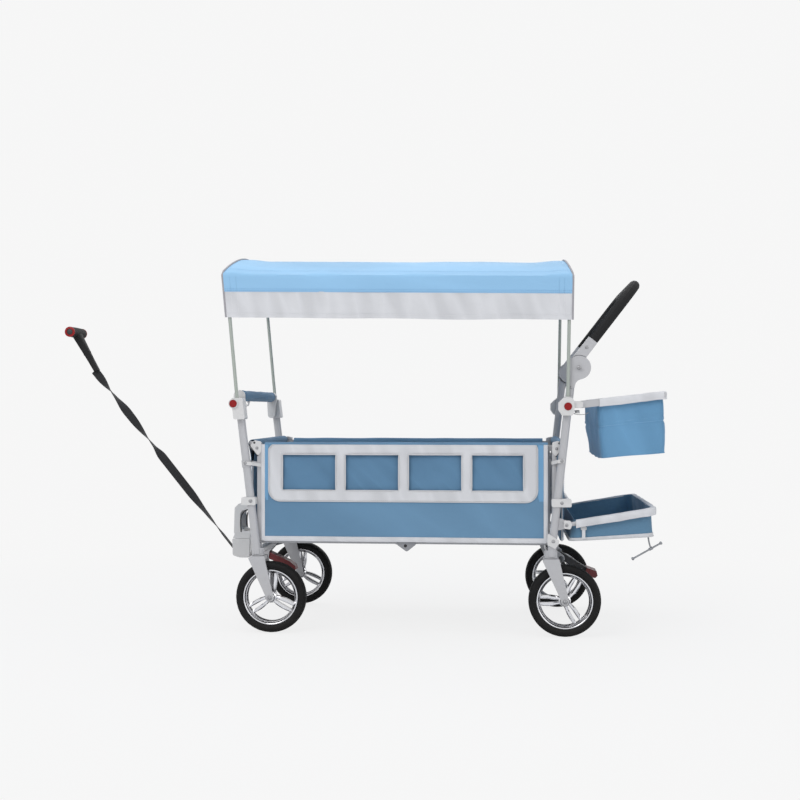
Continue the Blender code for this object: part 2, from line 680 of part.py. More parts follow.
def rail(level, pivot_z, end, out, side, carrier):
    """Half a rail: an eye at the end pivot, a bar, and a hinge plate that hangs at the middle."""
    h = RAIL_HEIGHT / 2
    pivot_x = out * HALF_RAIL
    eye = circle((pivot_x, pivot_z), h, 8, math.pi / 2, -out * math.pi)
    bar = prism(eye + [(out * BOARD_GAP, pivot_z - h), (out * BOARD_GAP, pivot_z + h)],
                side * RAIL_INNER_Y, side * RAIL_OUTER_Y)
    axis_z = pivot_z - HINGE_DROP
    on_outside = out < 0
    if on_outside:
        plate_y = (RAIL_OUTER_Y + SEAT_GAP, RAIL_OUTER_Y + HINGE_PLATE)
        root_y = (RAIL_OUTER_Y - 0.0015, RAIL_OUTER_Y + HINGE_PLATE - SEAT_GAP)
    else:
        plate_y = (RAIL_INNER_Y - HINGE_PLATE, RAIL_INNER_Y - SEAT_GAP)
        root_y = (RAIL_INNER_Y - HINGE_PLATE + SEAT_GAP, RAIL_INNER_Y + 0.0015)
    lug = circle((0, axis_z), HINGE_LUG_RADIUS, 8, math.pi if out > 0 else 0.0, out * math.pi)
    low, high = pivot_z - h + 0.003, pivot_z + h - 0.002
    plate = prism(lug + [(out * HINGE_PLATE_REACH, low), (out * HINGE_PLATE_REACH, high),
                         (out * BOARD_GAP, high)], side * plate_y[0], side * plate_y[1])
    root = box(sorted((out * (BOARD_GAP + 0.001), out * (HINGE_PLATE_REACH - 0.001))),
               span(side, *root_y), (low + 0.001, high - 0.001))
    shapes = [bar, plate, root]
    cuts = [cylinder((pivot_x, side * (RAIL_INNER_Y - 0.01), pivot_z),
                     (pivot_x, side * (RAIL_OUTER_Y + 0.01), pivot_z),
                     RAIL_PIN_RADIUS + PIN_GAP, 10)]
    if on_outside:
        shapes.append(cylinder((0, side * (plate_y[1] - 0.001), axis_z),
                               (0, side * (RAIL_INNER_Y - HINGE_PLATE - 0.002), axis_z),
                               RAIL_PIN_RADIUS, 10))
    else:
        cuts.append(cylinder((0, side * (plate_y[0] - 0.01), axis_z),
                             (0, side * (plate_y[1] + 0.01), axis_z),
                             RAIL_PIN_RADIUS + PIN_GAP, 10))
    piece(f"{level}_rail_{end}_{side_name(side)}", "white_paint", carrier, shapes, cuts)


def floor_board(end, out, carrier):
    half = RAIL_OUTER_Y
    low = LOWER_PIVOT_Z + RAIL_HEIGHT / 2 + SEAT_GAP
    near_x, far_x = out * BOARD_GAP, out * (HALF_RAIL - BOARD_START)
    left, right = min(near_x, far_x), max(near_x, far_x)
    board = box((left, right), (-half, half), (low, low + BOARD_THICKNESS))
    rib_half = RAIL_INNER_Y - HINGE_PLATE - BOARD_RIB_CLEAR
    ribs = []
    for i in range(BOARD_RIBS):
        x = out * (0.08 + 0.12 * i)
        ribs.append(box((x - 0.012, x + 0.012), (-rib_half, rib_half),
                        (low - BOARD_RIB, low + BOARD_THICKNESS / 2)))
    piece(f"floor_board_{end}", "grey_plastic", carrier, [board, *ribs])


# Sockets and buttons

def button_bore(x, z, side):
    bottom = SOCKET_OUTER_Y + BUTTON_PROUD - BUTTON_LENGTH - BUTTON_TRAVEL - 0.0005
    return cylinder((x, side * bottom, z), (x, side * (SOCKET_OUTER_Y + 0.01), z),
                    BUTTON_RADIUS + PIN_GAP, 20)


def front_socket(side, carrier):
    """The moulded collar on a front post: post below, canopy pole above, button boss ahead."""
    half = SOCKET_WIDTH / 2
    low, high = SOCKET_BOTTOM_Z, SOCKET_TOP_Z
    corners = [(front_post_x(low) - half, low, 0), (front_post_x(low) + half, low, 0),
               (front_post_x(high) + half, high, 0), (front_post_x(high) - half, high, 0)]
    outline = [(p[0], p[1]) for p in rounded(corners, 0.004, 2, True)]
    body = prism(outline, side * SOCKET_INNER_Y, side * (SOCKET_OUTER_Y - 0.004))
    boss = cylinder((FRONT_BUTTON_X, side * (POST_Y + 0.002), BUTTON_Z),
                    (FRONT_BUTTON_X, side * SOCKET_OUTER_Y, BUTTON_Z), BUTTON_BOSS, 20)
    pivot = prism([(BAR_PIVOT_X - 0.007, BAR_PIVOT_Z - 0.007), (BAR_PIVOT_X + 0.010, BAR_PIVOT_Z - 0.009),
                   (BAR_PIVOT_X + 0.010, BAR_PIVOT_Z + 0.009), (BAR_PIVOT_X - 0.007, BAR_PIVOT_Z + 0.007)],
                  side * SOCKET_INNER_Y, side * (SOCKET_INNER_Y + 0.012))
    pin = cylinder((BAR_PIVOT_X, side * (SOCKET_INNER_Y + 0.004), BAR_PIVOT_Z),
                   (BAR_PIVOT_X, side * (BAR_BRACKET_Y - 0.001), BAR_PIVOT_Z), 0.004, 12)
    post = tube([(front_post_x(z), side * POST_Y, z) for z in (low - 0.01, low + 0.0125)],
                (0, 1, 0), TUBE_X + SEAT_GAP, TUBE_Y + SEAT_GAP)
    bore_low = SOCKET_TOP_Z - POLE_DEPTH - 0.001
    bore = tube([(front_pole_x(z), side * POLE_Y, z) for z in (bore_low, high + 0.02)], (0, 1, 0),
                POLE_RADIUS + PIN_GAP, sides=12)
    piece(f"socket_front_{side_name(side)}", "white_plastic", carrier, [body, boss, pivot, pin],
          [post, bore, button_bore(FRONT_BUTTON_X, BUTTON_Z, side)])
    button("front", FRONT_BUTTON_X, BUTTON_Z, side, carrier)


def rear_socket(side, carrier):
    """The hub beside a rear post, with the pole's collar on top and the pouch's ear."""
    inner = POST_Y + TUBE_Y + SEAT_GAP
    x, z = HUB_SOCKET_X, HUB_SOCKET_Z
    corners = [(x - HUB_AHEAD, z - 0.010), (x - HUB_AHEAD + 0.010, z - HUB_BELOW),
               (x + HUB_BEHIND - 0.005, z - HUB_BELOW), (x + HUB_BEHIND, z - HUB_BELOW + 0.013),
               (x + HUB_BEHIND, z + HUB_ABOVE - 0.009), (x + HUB_BEHIND - 0.006, z + HUB_ABOVE),
               (x - HUB_AHEAD + 0.014, z + HUB_ABOVE), (x - HUB_AHEAD, z + 0.010)]
    outline = rounded([(a, b, 0) for a, b in corners], HUB_CORNER, 2, True)
    hub = prism([(p[0], p[1]) for p in outline], side * inner, side * SOCKET_OUTER_Y)
    top = SOCKET_TOP_Z + 0.003
    collar = tube([(rear_pole_x(h), side * POLE_Y, h) for h in (z, top)], (0, 1, 0), COLLAR_RADIUS,
                  COLLAR_RADIUS - 0.0012, 16)
    ear_y = (POUCH_ARM_Y + POUCH_ARM + 0.0005, SOCKET_OUTER_Y - 0.006)
    ear = prism([(x + 0.005, POUCH_PIVOT_Z - 0.010), (POUCH_PIVOT_X, POUCH_PIVOT_Z - 0.010),
                 (POUCH_PIVOT_X + 0.008, POUCH_PIVOT_Z - 0.006),
                 (POUCH_PIVOT_X + 0.008, POUCH_PIVOT_Z + 0.006),
                 (POUCH_PIVOT_X, POUCH_PIVOT_Z + 0.010), (x + 0.005, POUCH_PIVOT_Z + 0.010)],
                side * ear_y[0], side * ear_y[1])
    pin = cylinder((POUCH_PIVOT_X, side * (ear_y[0] + 0.002), POUCH_PIVOT_Z),
                   (POUCH_PIVOT_X, side * (POUCH_ARM_Y - 0.001), POUCH_PIVOT_Z), 0.004, 12)
    bore_low = SOCKET_TOP_Z - POLE_DEPTH - 0.001
    bore = tube([(rear_pole_x(h), side * POLE_Y, h) for h in (bore_low, top + 0.02)], (0, 1, 0),
                POLE_RADIUS + PIN_GAP, sides=12)
    piece(f"socket_rear_{side_name(side)}", "white_plastic", carrier,
          [hub, collar, ear, pin], [bore, button_bore(x, z, side)])
    button("rear", x, z, side, carrier)


def button(end, x, z, side, frame):
    name = f"button_{end}_{side_name(side)}"
    outer = SOCKET_OUTER_Y + BUTTON_PROUD
    carrier = place_empty(f"axis_{name}", (x, side * outer, z), frame)
    low = outer - BUTTON_LENGTH
    stem = cylinder((x, side * low, z), (x, side * (outer - 0.001), z), BUTTON_RADIUS, 20)
    crown = cylinder((x, side * (outer - 0.002), z), (x, side * outer, z), BUTTON_RADIUS - 0.0012, 20)
    piece(name, "red_plastic", carrier, [stem, crown])


# Canopy

def arch(half_width, eave, rise, steps):
    """Points (y, z) of a shallow arch from the near eave to the far one."""
    radius = (half_width ** 2 + rise ** 2) / (2 * rise)
    reach = math.asin(half_width / radius)
    centre_z = eave + rise - radius
    angles = [-reach + 2 * reach * i / steps for i in range(steps + 1)]
    return [(radius * math.sin(a), centre_z + radius * math.cos(a)) for a in angles]


def roof_end_x(pole_x, eave, z):
    """Where an end of the roof lies at a height: above the eave it leans in to the crown."""
    over = max(0.0, (z - eave) / CROWN_RISE)
    inward = 1 if pole_x(z) < 0 else -1
    return pole_x(min(z, eave)) + inward * CROWN_IN * over


def hoop(end, pole_x, lean, carrier):
    """One steel bow: a pole in each socket, joined by the arch under the roof."""
    foot_z = SOCKET_TOP_Z - POLE_DEPTH
    eave = EAVE_Z + (EAVE_FALL / 2 if end == "front" else -EAVE_FALL / 2)
    points = [(-POLE_Y, foot_z), *arch(POLE_Y, eave, CROWN_RISE, 10), (POLE_Y, foot_z)]
    bow = points[1:-1]
    corner = rounded([(-POLE_Y, foot_z, 0), (*bow[0], 0), (*bow[1], 0)], 0.018, 4)[1:-1]
    left = [(p[0], p[1]) for p in corner]
    right = [(-y, z) for y, z in left[::-1]]
    run = [points[0], *left, *bow[1:-1], *right, points[-1]]
    path = [(roof_end_x(pole_x, eave, z), y, z) for y, z in run]
    piece(f"hoop_{end}", "pole_steel", carrier, [tube(path, (1, 0, -lean), POLE_RADIUS, sides=8)])


def cover_loop(outside, bottom, x_of, out):
    """The cover's outline at one end: down one side, over the arch and down the other.

    The roof falls a little towards the rear, so each end is shifted by half of the fall.
    """
    inner_y = POLE_Y + POLE_RADIUS + COVER_CLEAR
    grow = COVER_THICKNESS if outside else 0.0
    y = inner_y + grow
    shift = -out * EAVE_FALL / 2
    eave = EAVE_Z + shift + POLE_RADIUS + COVER_CLEAR + grow - 0.001
    points = arch(y, eave, CROWN_RISE + 0.001, 12)
    end_gap = POLE_RADIUS + COVER_END_CLEAR + grow
    run = [(-y, bottom + shift), *points, (y, bottom + shift)]
    return [(roof_end_x(x_of, eave, z) + out * end_gap, p, z) for p, z in run]


def level_ends(shape, count):
    """Swaps each end face for level strips, because the leaning roof end isn't flat."""
    for face in [f for f in shape.faces if len(f.verts) == count]:
        ring = list(face.verts)
        shape.faces.remove(face)
        for i in range(count // 2 - 1):
            shape.faces.new((ring[i], ring[i + 1], ring[-2 - i], ring[-1 - i]))
        middle = count // 2
        shape.faces.new((ring[middle - 1], ring[middle], ring[middle + 1]))
    bmesh.ops.recalc_face_normals(shape, faces=shape.faces)
    return shape


def canopy_cover(carrier):
    """The roof cloth: one arched sheet, deep on the near side, short at the ends and far side."""
    low = VALANCE_Z - 0.05
    skins = []
    for outside, bottom in ((True, VALANCE_Z), (False, low)):
        loops = [cover_loop(outside, bottom, front_pole_x, -1),
                 cover_loop(outside, bottom, rear_pole_x, 1)]
        skins.append(level_ends(from_loops(loops, False), len(loops[0])))
    outer, inner = skins
    near_side = -(POLE_Y + POLE_RADIUS + COVER_CLEAR) - COVER_THICKNESS / 4
    short = box((-1, 1), (near_side, 1), (low, FAR_VALANCE_Z))
    piece("canopy_cover", "pale_cloth", carrier, [outer], [inner, short])


# Push handle

def handle_path(start):
    """The handle tube's line from a share of the arm's length, round the top and back down."""
    foot = Vector((HANDLE_FOOT_X, 0, HANDLE_FOOT_Z))
    top = Vector((HANDLE_TOP_X, 0, HANDLE_TOP_Z))
    begin = foot.lerp(top, start)
    side = Vector((0, HANDLE_Y, 0))
    return rounded([begin - side, top - side, top + side, begin + side], HANDLE_CORNER, 7)


def handlebar(carrier):
    foot = Vector((HANDLE_FOOT_X, 0, HANDLE_FOOT_Z))
    line = Vector((HANDLE_TOP_X, 0, HANDLE_TOP_Z)) - foot
    arm = line.normalized()
    across = Vector((arm.z, 0, -arm.x))
    normal = arm.cross(Vector((0, 1, 0)))
    shapes = [tube(handle_path(0.16), normal, HANDLE_TUBE)]
    cuts = []
    tongue_in, tongue_out = HANDLE_Y - 0.0135, POST_Y + TUBE_Y - JOINT_SHIELD - SEAT_GAP
    reach = GRIP_START * line.length

    def outline(marks):
        points = [foot + arm * u + across * v for u, v in marks]
        return [(p.x, p.z) for p in points]

    for side in (-1, 1):
        shapes.append(cylinder((JOINT_X, side * tongue_in, JOINT_Z),
                               (JOINT_X, side * tongue_out, JOINT_Z), JOINT_RADIUS - 0.002, 28))
        tongue = outline([(0.0, -0.010), (reach - 0.001, -0.0140), (reach - 0.001, 0.0140), (0.0, 0.016)])
        shapes.append(prism(tongue, side * tongue_in, side * tongue_out))
        cap = outline([(0.016, -0.0150), (reach, -0.0146), (reach, 0.0146), (0.012, 0.0150)])
        shapes.append(prism(cap, side * (tongue_in + 0.0005), side * (POST_Y + TUBE_Y)))
        cuts.append(cylinder((JOINT_X, side * tongue_out, JOINT_Z),
                             (JOINT_X, side * (POST_Y + 0.03), JOINT_Z), JOINT_RADIUS + 0.0015, 28))
    piece("handlebar", "white_paint", carrier, shapes, cuts)
    sleeve = hollow_tube(handle_path(GRIP_START + 0.005), normal, GRIP_RADIUS, HANDLE_TUBE + SEAT_GAP)
    piece("handle_grip", "black_foam", carrier, [sleeve], smooth=60)


# Front grip bar

def grip_bar(carrier):
    shapes = [cylinder((BAR_X, -BAR_BRACKET_Y - 0.004, BAR_Z), (BAR_X, BAR_BRACKET_Y + 0.004, BAR_Z),
                       BAR_RADIUS, 12)]
    cuts = []
    top = circle((BAR_X, BAR_Z), 0.016, 8, math.radians(-10), math.radians(200))
    bottom = circle((BAR_PIVOT_X, BAR_PIVOT_Z), 0.0115, 8, math.radians(170), math.radians(200))
    for side in (-1, 1):
        y = (side * BAR_BRACKET_Y, side * (BAR_BRACKET_Y + BAR_BRACKET))
        shapes.append(prism(top + bottom, *y))
        cuts.append(cylinder((BAR_PIVOT_X, side * (BAR_BRACKET_Y - 0.01), BAR_PIVOT_Z),
                             (BAR_PIVOT_X, side * (BAR_BRACKET_Y + 0.03), BAR_PIVOT_Z),
                             0.004 + PIN_GAP, 12))
        cuts.append(box((BAR_PIVOT_X + 0.0025, BAR_PIVOT_X + 0.0115),
                        span(side, BAR_BRACKET_Y + 0.006, BAR_BRACKET_Y + 0.02),
                        (BAR_PIVOT_Z + 0.026, BAR_PIVOT_Z + 0.035)))
    piece("grip_bar", "white_plastic", carrier, shapes, cuts)
    sleeve = hollow_tube([(BAR_X, -BAR_SLEEVE_HALF, BAR_Z), (BAR_X, BAR_SLEEVE_HALF, BAR_Z)],
                         (0, 0, 1), BAR_SLEEVE, BAR_RADIUS + SEAT_GAP)
    piece("grip_sleeve", "blue_cloth", carrier, [sleeve])


# Rear pouch

def pouch(carrier):
    def rim_z(x):
        return POUCH_PIVOT_Z + POUCH_RISE * (x - POUCH_PIVOT_X) * 0.9

    half = POUCH_ARM_HEIGHT / 2
    eye = circle((POUCH_PIVOT_X, POUCH_PIVOT_Z), half, 8, math.pi / 2, math.pi)
    thin = 0.007
    wide_end = POUCH_PIVOT_X + 0.060
    outline = eye + [(wide_end, rim_z(wide_end) - half), (wide_end + 0.004, rim_z(wide_end) - thin),
                     (POUCH_END_X, rim_z(POUCH_END_X) - thin),
                     (POUCH_END_X, rim_z(POUCH_END_X) + thin),
                     (wide_end + 0.004, rim_z(wide_end) + thin + 0.001),
                     (wide_end, rim_z(wide_end) + half)]
    y_in, y_out = POUCH_ARM_Y, POUCH_ARM_Y + POUCH_ARM
    end_low = rim_z(POUCH_END_X)
    shapes = [box((POUCH_END_X - 0.006, POUCH_END_X - 0.0002), (-y_out + 0.0005, y_out - 0.0005),
                  (end_low - thin + 0.0005, end_low + thin - 0.0005))]
    cuts = []
    for side in (-1, 1):
        shapes.append(prism(outline, side * y_in, side * y_out))
        cuts.append(cylinder((POUCH_PIVOT_X, side * (y_in - 0.01), POUCH_PIVOT_Z),
                             (POUCH_PIVOT_X, side * (y_out + 0.01), POUCH_PIVOT_Z),
                             0.004 + PIN_GAP, 12))
    piece("pouch_frame", "white_paint", carrier, shapes, cuts)

    def bag_loop(inset, top):
        """Front-near, rear-near, rear-far and front-far corners of the bag at one height."""
        half_y = POUCH_ARM_Y - SEAT_GAP - inset
        low_in = 0.0 if top else 0.012
        low_x = POUCH_FRONT_X + inset + (0.012 if not top else 0.0)
        high_x = POUCH_END_X - 0.0065 - inset - (0.003 if not top else 0.0)
        corners = [(low_x, -half_y + low_in), (high_x, -half_y + low_in),
                   (high_x, half_y - low_in), (low_x, half_y - low_in)]
        return [(p[0], p[1]) for p in rounded([(x, y, 0) for x, y in corners], 0.022, 4, True)]

    def bag(inset, floor_z, lift):
        shape = []
        for x, y in bag_loop(inset, False):
            shape.append((x, y, floor_z + 0.08 * (x - POUCH_FRONT_X)))
        rim = [(x, y, rim_z(x) + 0.006 + lift) for x, y in bag_loop(inset, True)]
        return from_loops([shape, rim], False)

    outer = bag(0.0, POUCH_BOTTOM_Z, 0.0)
    inner = bag(POUCH_WALL, POUCH_BOTTOM_Z + POUCH_WALL, 0.02)
    piece("pouch_bag", "blue_cloth", carrier, [outer], [inner])


# Rear tray

def tray(carrier):
    def rim_z(x):
        return TRAY_PIVOT_Z + TRAY_RISE * (x - TRAY_PIVOT_X)

    slope = Vector((1, 0, TRAY_RISE)).normalized()
    normal = slope.cross(Vector((0, 1, 0)))
    eye = 0.009
    start_x = TRAY_PIVOT_X + 0.004
    end_x = TRAY_END_X - TRAY_TUBE
    path = rounded([(start_x, -TRAY_TUBE_Y, rim_z(start_x)), (end_x, -TRAY_TUBE_Y, rim_z(end_x)),
                    (end_x, TRAY_TUBE_Y, rim_z(end_x)), (start_x, TRAY_TUBE_Y, rim_z(start_x))],
                   0.035, 5)
    shapes = [tube(path, normal, TRAY_TUBE, sides=TRAY_TUBE_SIDES)]
    cuts = []
    for side in (-1, 1):
        inner, outer = POST_Y + TRAY_LUG / 2 + 0.0005, TRAY_TUBE_Y + TRAY_TUBE - 0.001
        shapes.append(cylinder((TRAY_PIVOT_X, side * inner, TRAY_PIVOT_Z),
                               (TRAY_PIVOT_X, side * outer, TRAY_PIVOT_Z), eye, 16))
        cuts.append(cylinder((TRAY_PIVOT_X, side * (inner - 0.01), TRAY_PIVOT_Z),
                             (TRAY_PIVOT_X, side * (outer + 0.01), TRAY_PIVOT_Z),
                             0.0035 + PIN_GAP, 10))
    piece("tray_frame", "white_paint", carrier, shapes, cuts)

    def tray_loop(inset, z_of):
        half_y = TRAY_TUBE_Y - TRAY_TUBE * math.cos(math.pi / TRAY_TUBE_SIDES) - SEAT_GAP - inset
        low_x, high_x = TRAY_FRONT_X + inset, TRAY_END_X - 2 * TRAY_TUBE - 0.001 - inset
        corners = [(low_x, -half_y, 0), (high_x, -half_y, 0), (high_x, half_y, 0), (low_x, half_y, 0)]
        return [(p[0], p[1], z_of(p[0])) for p in rounded(corners, 0.029, 4, True)]

    outer = from_loops([tray_loop(0.0, lambda x: TRAY_BOTTOM_Z),
                        tray_loop(0.0, lambda x: rim_z(x) + 0.010)], False)
    inner = from_loops([tray_loop(TRAY_WALL, lambda x: TRAY_BOTTOM_Z + TRAY_WALL),
                        tray_loop(TRAY_WALL, lambda x: rim_z(x) + 0.030)], False)
    hook_y = -0.240

    def hook(out, drop):
        return (TRAY_END_X + out, hook_y, TRAY_BOTTOM_Z - drop)

    lug = box((TRAY_END_X - 0.0155, TRAY_END_X - 0.0125), (hook_y - 0.006, hook_y + 0.006),
              (TRAY_BOTTOM_Z - 0.0215, TRAY_BOTTOM_Z + 0.002))
    rod = cylinder(hook(0.0175, 0.0075), hook(-0.0635, 0.0540), TRAY_ROD_RADIUS, 8)
    knob = cylinder(hook(-0.0590, 0.0514), hook(-0.0675, 0.0563), TRAY_KNOB_RADIUS, 10)
    piece("tray_basket", "blue_cloth", carrier, [outer, lug, rod, knob], [inner])


# Tow housing, strap and pull handle

def tow_housing(carrier):
    """The moulded nose that joins the front bars and holds the pull strap's pin."""
    bar_x = -(HALF_RAIL + MID_BAR_OUT)
    back_x = FRONT_STEM_X - LOW_BAR_WIDTH / 2 - SEAT_GAP

    def low(out, rise):
        return (-(HALF_RAIL + out), STRAP_PIN_Z + rise)

    def high(out, drop):
        return (-(HALF_RAIL + out), MID_BAR_Z - drop)

    bar_half = MID_BAR_RADIUS + TOW_WALL
    outline = [(back_x, STRAP_PIN_Z + 0.0325), (back_x, STRAP_PIN_Z + 0.0420), low(0.042, 0.074),
               high(0.042, 0.025), (bar_x + bar_half, MID_BAR_Z - 0.010),
               (bar_x + bar_half, MID_BAR_Z + bar_half), (bar_x - bar_half, MID_BAR_Z + bar_half),
               high(0.076, 0.026), high(0.106, 0.026), high(0.118, 0.038), low(0.120, 0.060),
               low(0.115, 0.056), low(0.115, -0.001), low(0.104, -0.013), low(0.076, -0.013),
               low(0.066, 0.010), low(0.042, 0.028)]
    corners = [low(0.101, 0.066), low(0.058, 0.066), high(0.058, 0.044), high(0.101, 0.044)]
    window = rounded([(x, z, 0) for x, z in corners], 0.014, 4, True)
    bar_hole = cylinder((bar_x, -0.1, MID_BAR_Z), (bar_x, 0.1, MID_BAR_Z),
                        MID_BAR_RADIUS + SEAT_GAP, 12)
    ear = circle((STRAP_PIN_X, STRAP_PIN_Z), 0.008, 8, math.pi / 2, math.pi)
    ear += [low(0.106, -0.008), low(0.106, 0.008)]
    gap = STRAP_WIDTH / 2 + 0.0015
    shapes = [prism(outline, -TOW_HALF, TOW_HALF)]
    for side in (-1, 1):
        shapes.append(prism(ear, side * gap, side * (gap + 0.006)))
    shapes.append(cylinder((STRAP_PIN_X, -gap - 0.004, STRAP_PIN_Z),
                           (STRAP_PIN_X, gap + 0.004, STRAP_PIN_Z), STRAP_PIN_RADIUS, 12))
    cuts = [prism([(p[0], p[1]) for p in window], -0.1, 0.1), bar_hole]
    piece("tow_housing", "white_plastic", carrier, shapes, cuts)


def strap_twist(share):
    """How far the webbing has turned about its own line, in radians, from pin to handle."""
    marks = [(0.0, 0.0), (0.08, 0.0), (0.20, 0.10), (0.33, 0.25), (0.50, 0.27), (0.58, 0.50),
             (0.74, 0.75), (0.86, 1.0), (0.97, 1.25), (1.0, 1.25)]
    for (a, turn_a), (b, turn_b) in zip(marks, marks[1:]):
        if share <= b:
            local = (share - a) / (b - a)
            return math.tau * (turn_a + (turn_b - turn_a) * local)
    return math.tau * marks[-1][1]


def pull_strap(carrier):
    start, end = Vector((STRAP_PIN_X, 0, STRAP_PIN_Z)), Vector((STRAP_END_X, 0, STRAP_END_Z))
    along = (end - start).normalized()
    across = Vector((0, 1, 0))
    face = along.cross(across)
    loop_out = STRAP_PIN_RADIUS + PIN_GAP + STRAP_THICKNESS
    tilt = along.angle(Vector((PULL_GRIP_X, 0, PULL_GRIP_Z)) - end)
    back_off = (SEAT_GAP + STRAP_WIDTH / 2 * math.sin(tilt)) / math.cos(tilt)
    length = (end - start).length - back_off
    begin = loop_out - 0.001
    rings = 42
    loops = []
    for i in range(rings + 1):
        share = i / rings
        middle = start + along * (begin + (length - begin) * share)
        turn = strap_twist(share)
        wide = across * math.cos(turn) + face * math.sin(turn)
        thick = along.cross(wide)
        w, t = STRAP_WIDTH / 2, STRAP_THICKNESS / 2
        loops.append([middle + wide * a + thick * b for a, b in ((-w, -t), (w, -t), (w, t), (-w, t))])
    half = STRAP_WIDTH / 2 + 0.0003
    ring = cylinder((start.x, -half, start.z), (start.x, half, start.z), loop_out, 12)
    hole = cylinder((start.x, -half - 0.01, start.z), (start.x, half + 0.01, start.z),
                    STRAP_PIN_RADIUS + PIN_GAP, 12)
    ribbon = from_loops(loops, False)
    bmesh.ops.triangulate(ribbon, faces=ribbon.faces)
    piece("pull_strap", "black_webbing", carrier, [ribbon, ring], [hole])


def pull_handle(carrier):
    """A padded stirrup: a round cross grip on two arms that meet where the strap comes in."""
    base = Vector((STRAP_END_X, 0, STRAP_END_Z))
    grip = Vector((PULL_GRIP_X, 0, PULL_GRIP_Z))
    up = (grip - base).normalized()
    face = up.cross(Vector((0, 1, 0)))
    reach = (grip - base).length

    def slab(outline, half_depth):
        loops = []
        for depth in (-half_depth, half_depth):
            loops.append([base + up * u + Vector((0, y, 0)) + face * depth for y, u in outline])
        return from_loops(loops, False)

    body = [(p[0], p[1]) for p in rounded(
        [(-0.016, 0.0, 0), (0.016, 0.0, 0), (0.050, reach - 0.035, 0), (0.050, reach, 0),
         (-0.050, reach, 0), (-0.050, reach - 0.035, 0)], 0.004, 2, True)]
    hole = [(p[0], p[1]) for p in rounded(
        [(0.0, 0.036, 0), (0.031, reach - 0.030, 0), (0.031, reach - 0.012, 0),
         (-0.031, reach - 0.012, 0), (-0.031, reach - 0.030, 0)], 0.006, 3, True)]
    bar = cylinder(grip - Vector((0, PULL_GRIP_HALF, 0)), grip + Vector((0, PULL_GRIP_HALF, 0)),
                   PULL_GRIP_RADIUS, 20)
    piece("pull_handle", "black_foam", carrier, [slab(body, PULL_ARM_DEPTH / 2), bar],
          [slab(hole, 0.05)])


# Pedals

def brake_pedal(carrier):
    half = WHEEL_Y - HUB_WIDTH / 2 - FORK_SIDE_GAP - FORK_ARM - 0.002
    shaft = cylinder((BRAKE_X, -half, BRAKE_Z), (BRAKE_X, half, BRAKE_Z), BRAKE_SHAFT, 12)
    arm = [(BRAKE_X - 0.008, BRAKE_Z + 0.006), (BRAKE_X + 0.004, BRAKE_Z + 0.010),
           (0.5180, 0.1600), (0.5440, 0.1500), (0.5480, 0.1440), (0.5440, 0.1340),
           (0.5140, 0.1400), (BRAKE_X - 0.002, BRAKE_Z - 0.010)]
    tread = [(0.5120, 0.1390), (0.5420, 0.1320), (0.5490, 0.1390), (0.5460, 0.1520),
             (0.5180, 0.1620)]
    shapes = [shaft, prism(arm, -0.014, 0.014), prism(tread, -PEDAL_HALF, PEDAL_HALF)]
    piece("brake_pedal", "red_plastic", carrier, shapes)


def swivel_pedal(carrier):
    arm = [(SWIVEL_X - 0.009, SWIVEL_Z - 0.002), (SWIVEL_X - 0.004, SWIVEL_Z + 0.008),
           (SWIVEL_X + 0.010, SWIVEL_Z + 0.007), (-0.3700, 0.1700), (-0.3520, 0.1560),
           (-0.3500, 0.1450), (-0.3600, 0.1420), (-0.3800, 0.1560), (SWIVEL_X, SWIVEL_Z - 0.010)]
    bore = cylinder((SWIVEL_X, -0.1, SWIVEL_Z), (SWIVEL_X, 0.1, SWIVEL_Z), 0.004 + PIN_GAP, 12)
    piece("swivel_lock_pedal", "red_plastic", carrier, [prism(arm, -SWIVEL_HALF, SWIVEL_HALF)],
          [bore])


def swivel_ears():
    """Ears under the front bar, with the pin that the swivel lock pedal turns on."""
    y = (SWIVEL_HALF + 0.001, SWIVEL_HALF + 0.007)
    left, right = SWIVEL_X - 0.009, SWIVEL_X + 0.009
    top = FOOT_BOTTOM_Z + 0.010
    shapes = []
    for side in (-1, 1):
        tip = circle((SWIVEL_X, SWIVEL_Z), 0.009, 8, 0.0, -math.pi)
        shapes.append(prism(tip + [(left, top - 0.010), (FRONT_STEM_X - 0.004, top),
                                   (FRONT_STEM_X + 0.006, top - 0.006), (right, SWIVEL_Z + 0.008)],
                            side * y[0], side * y[1]))
    shapes.append(cylinder((SWIVEL_X, -y[0] - 0.003, SWIVEL_Z), (SWIVEL_X, y[0] + 0.003, SWIVEL_Z),
                           0.004, 12))
    return shapes


def brake_ears():
    """Ears behind the rear bar, bored for the brake shaft."""
    top = FOOT_BOTTOM_Z + 0.016
    shapes = []
    for side in (-1, 1):
        tip = circle((BRAKE_X, BRAKE_Z), 0.011, 8, math.radians(60), -math.radians(210))
        outline = tip + [(REAR_STEM_X - 0.004, top - 0.010), (REAR_STEM_X - 0.002, top)]
        shapes.append(prism(outline, side * BRAKE_EAR_Y, side * (BRAKE_EAR_Y + BRAKE_EAR)))
    bore = cylinder((BRAKE_X, -0.2, BRAKE_Z), (BRAKE_X, 0.2, BRAKE_Z), BRAKE_SHAFT + PIN_GAP, 12)
    return shapes, [bore]


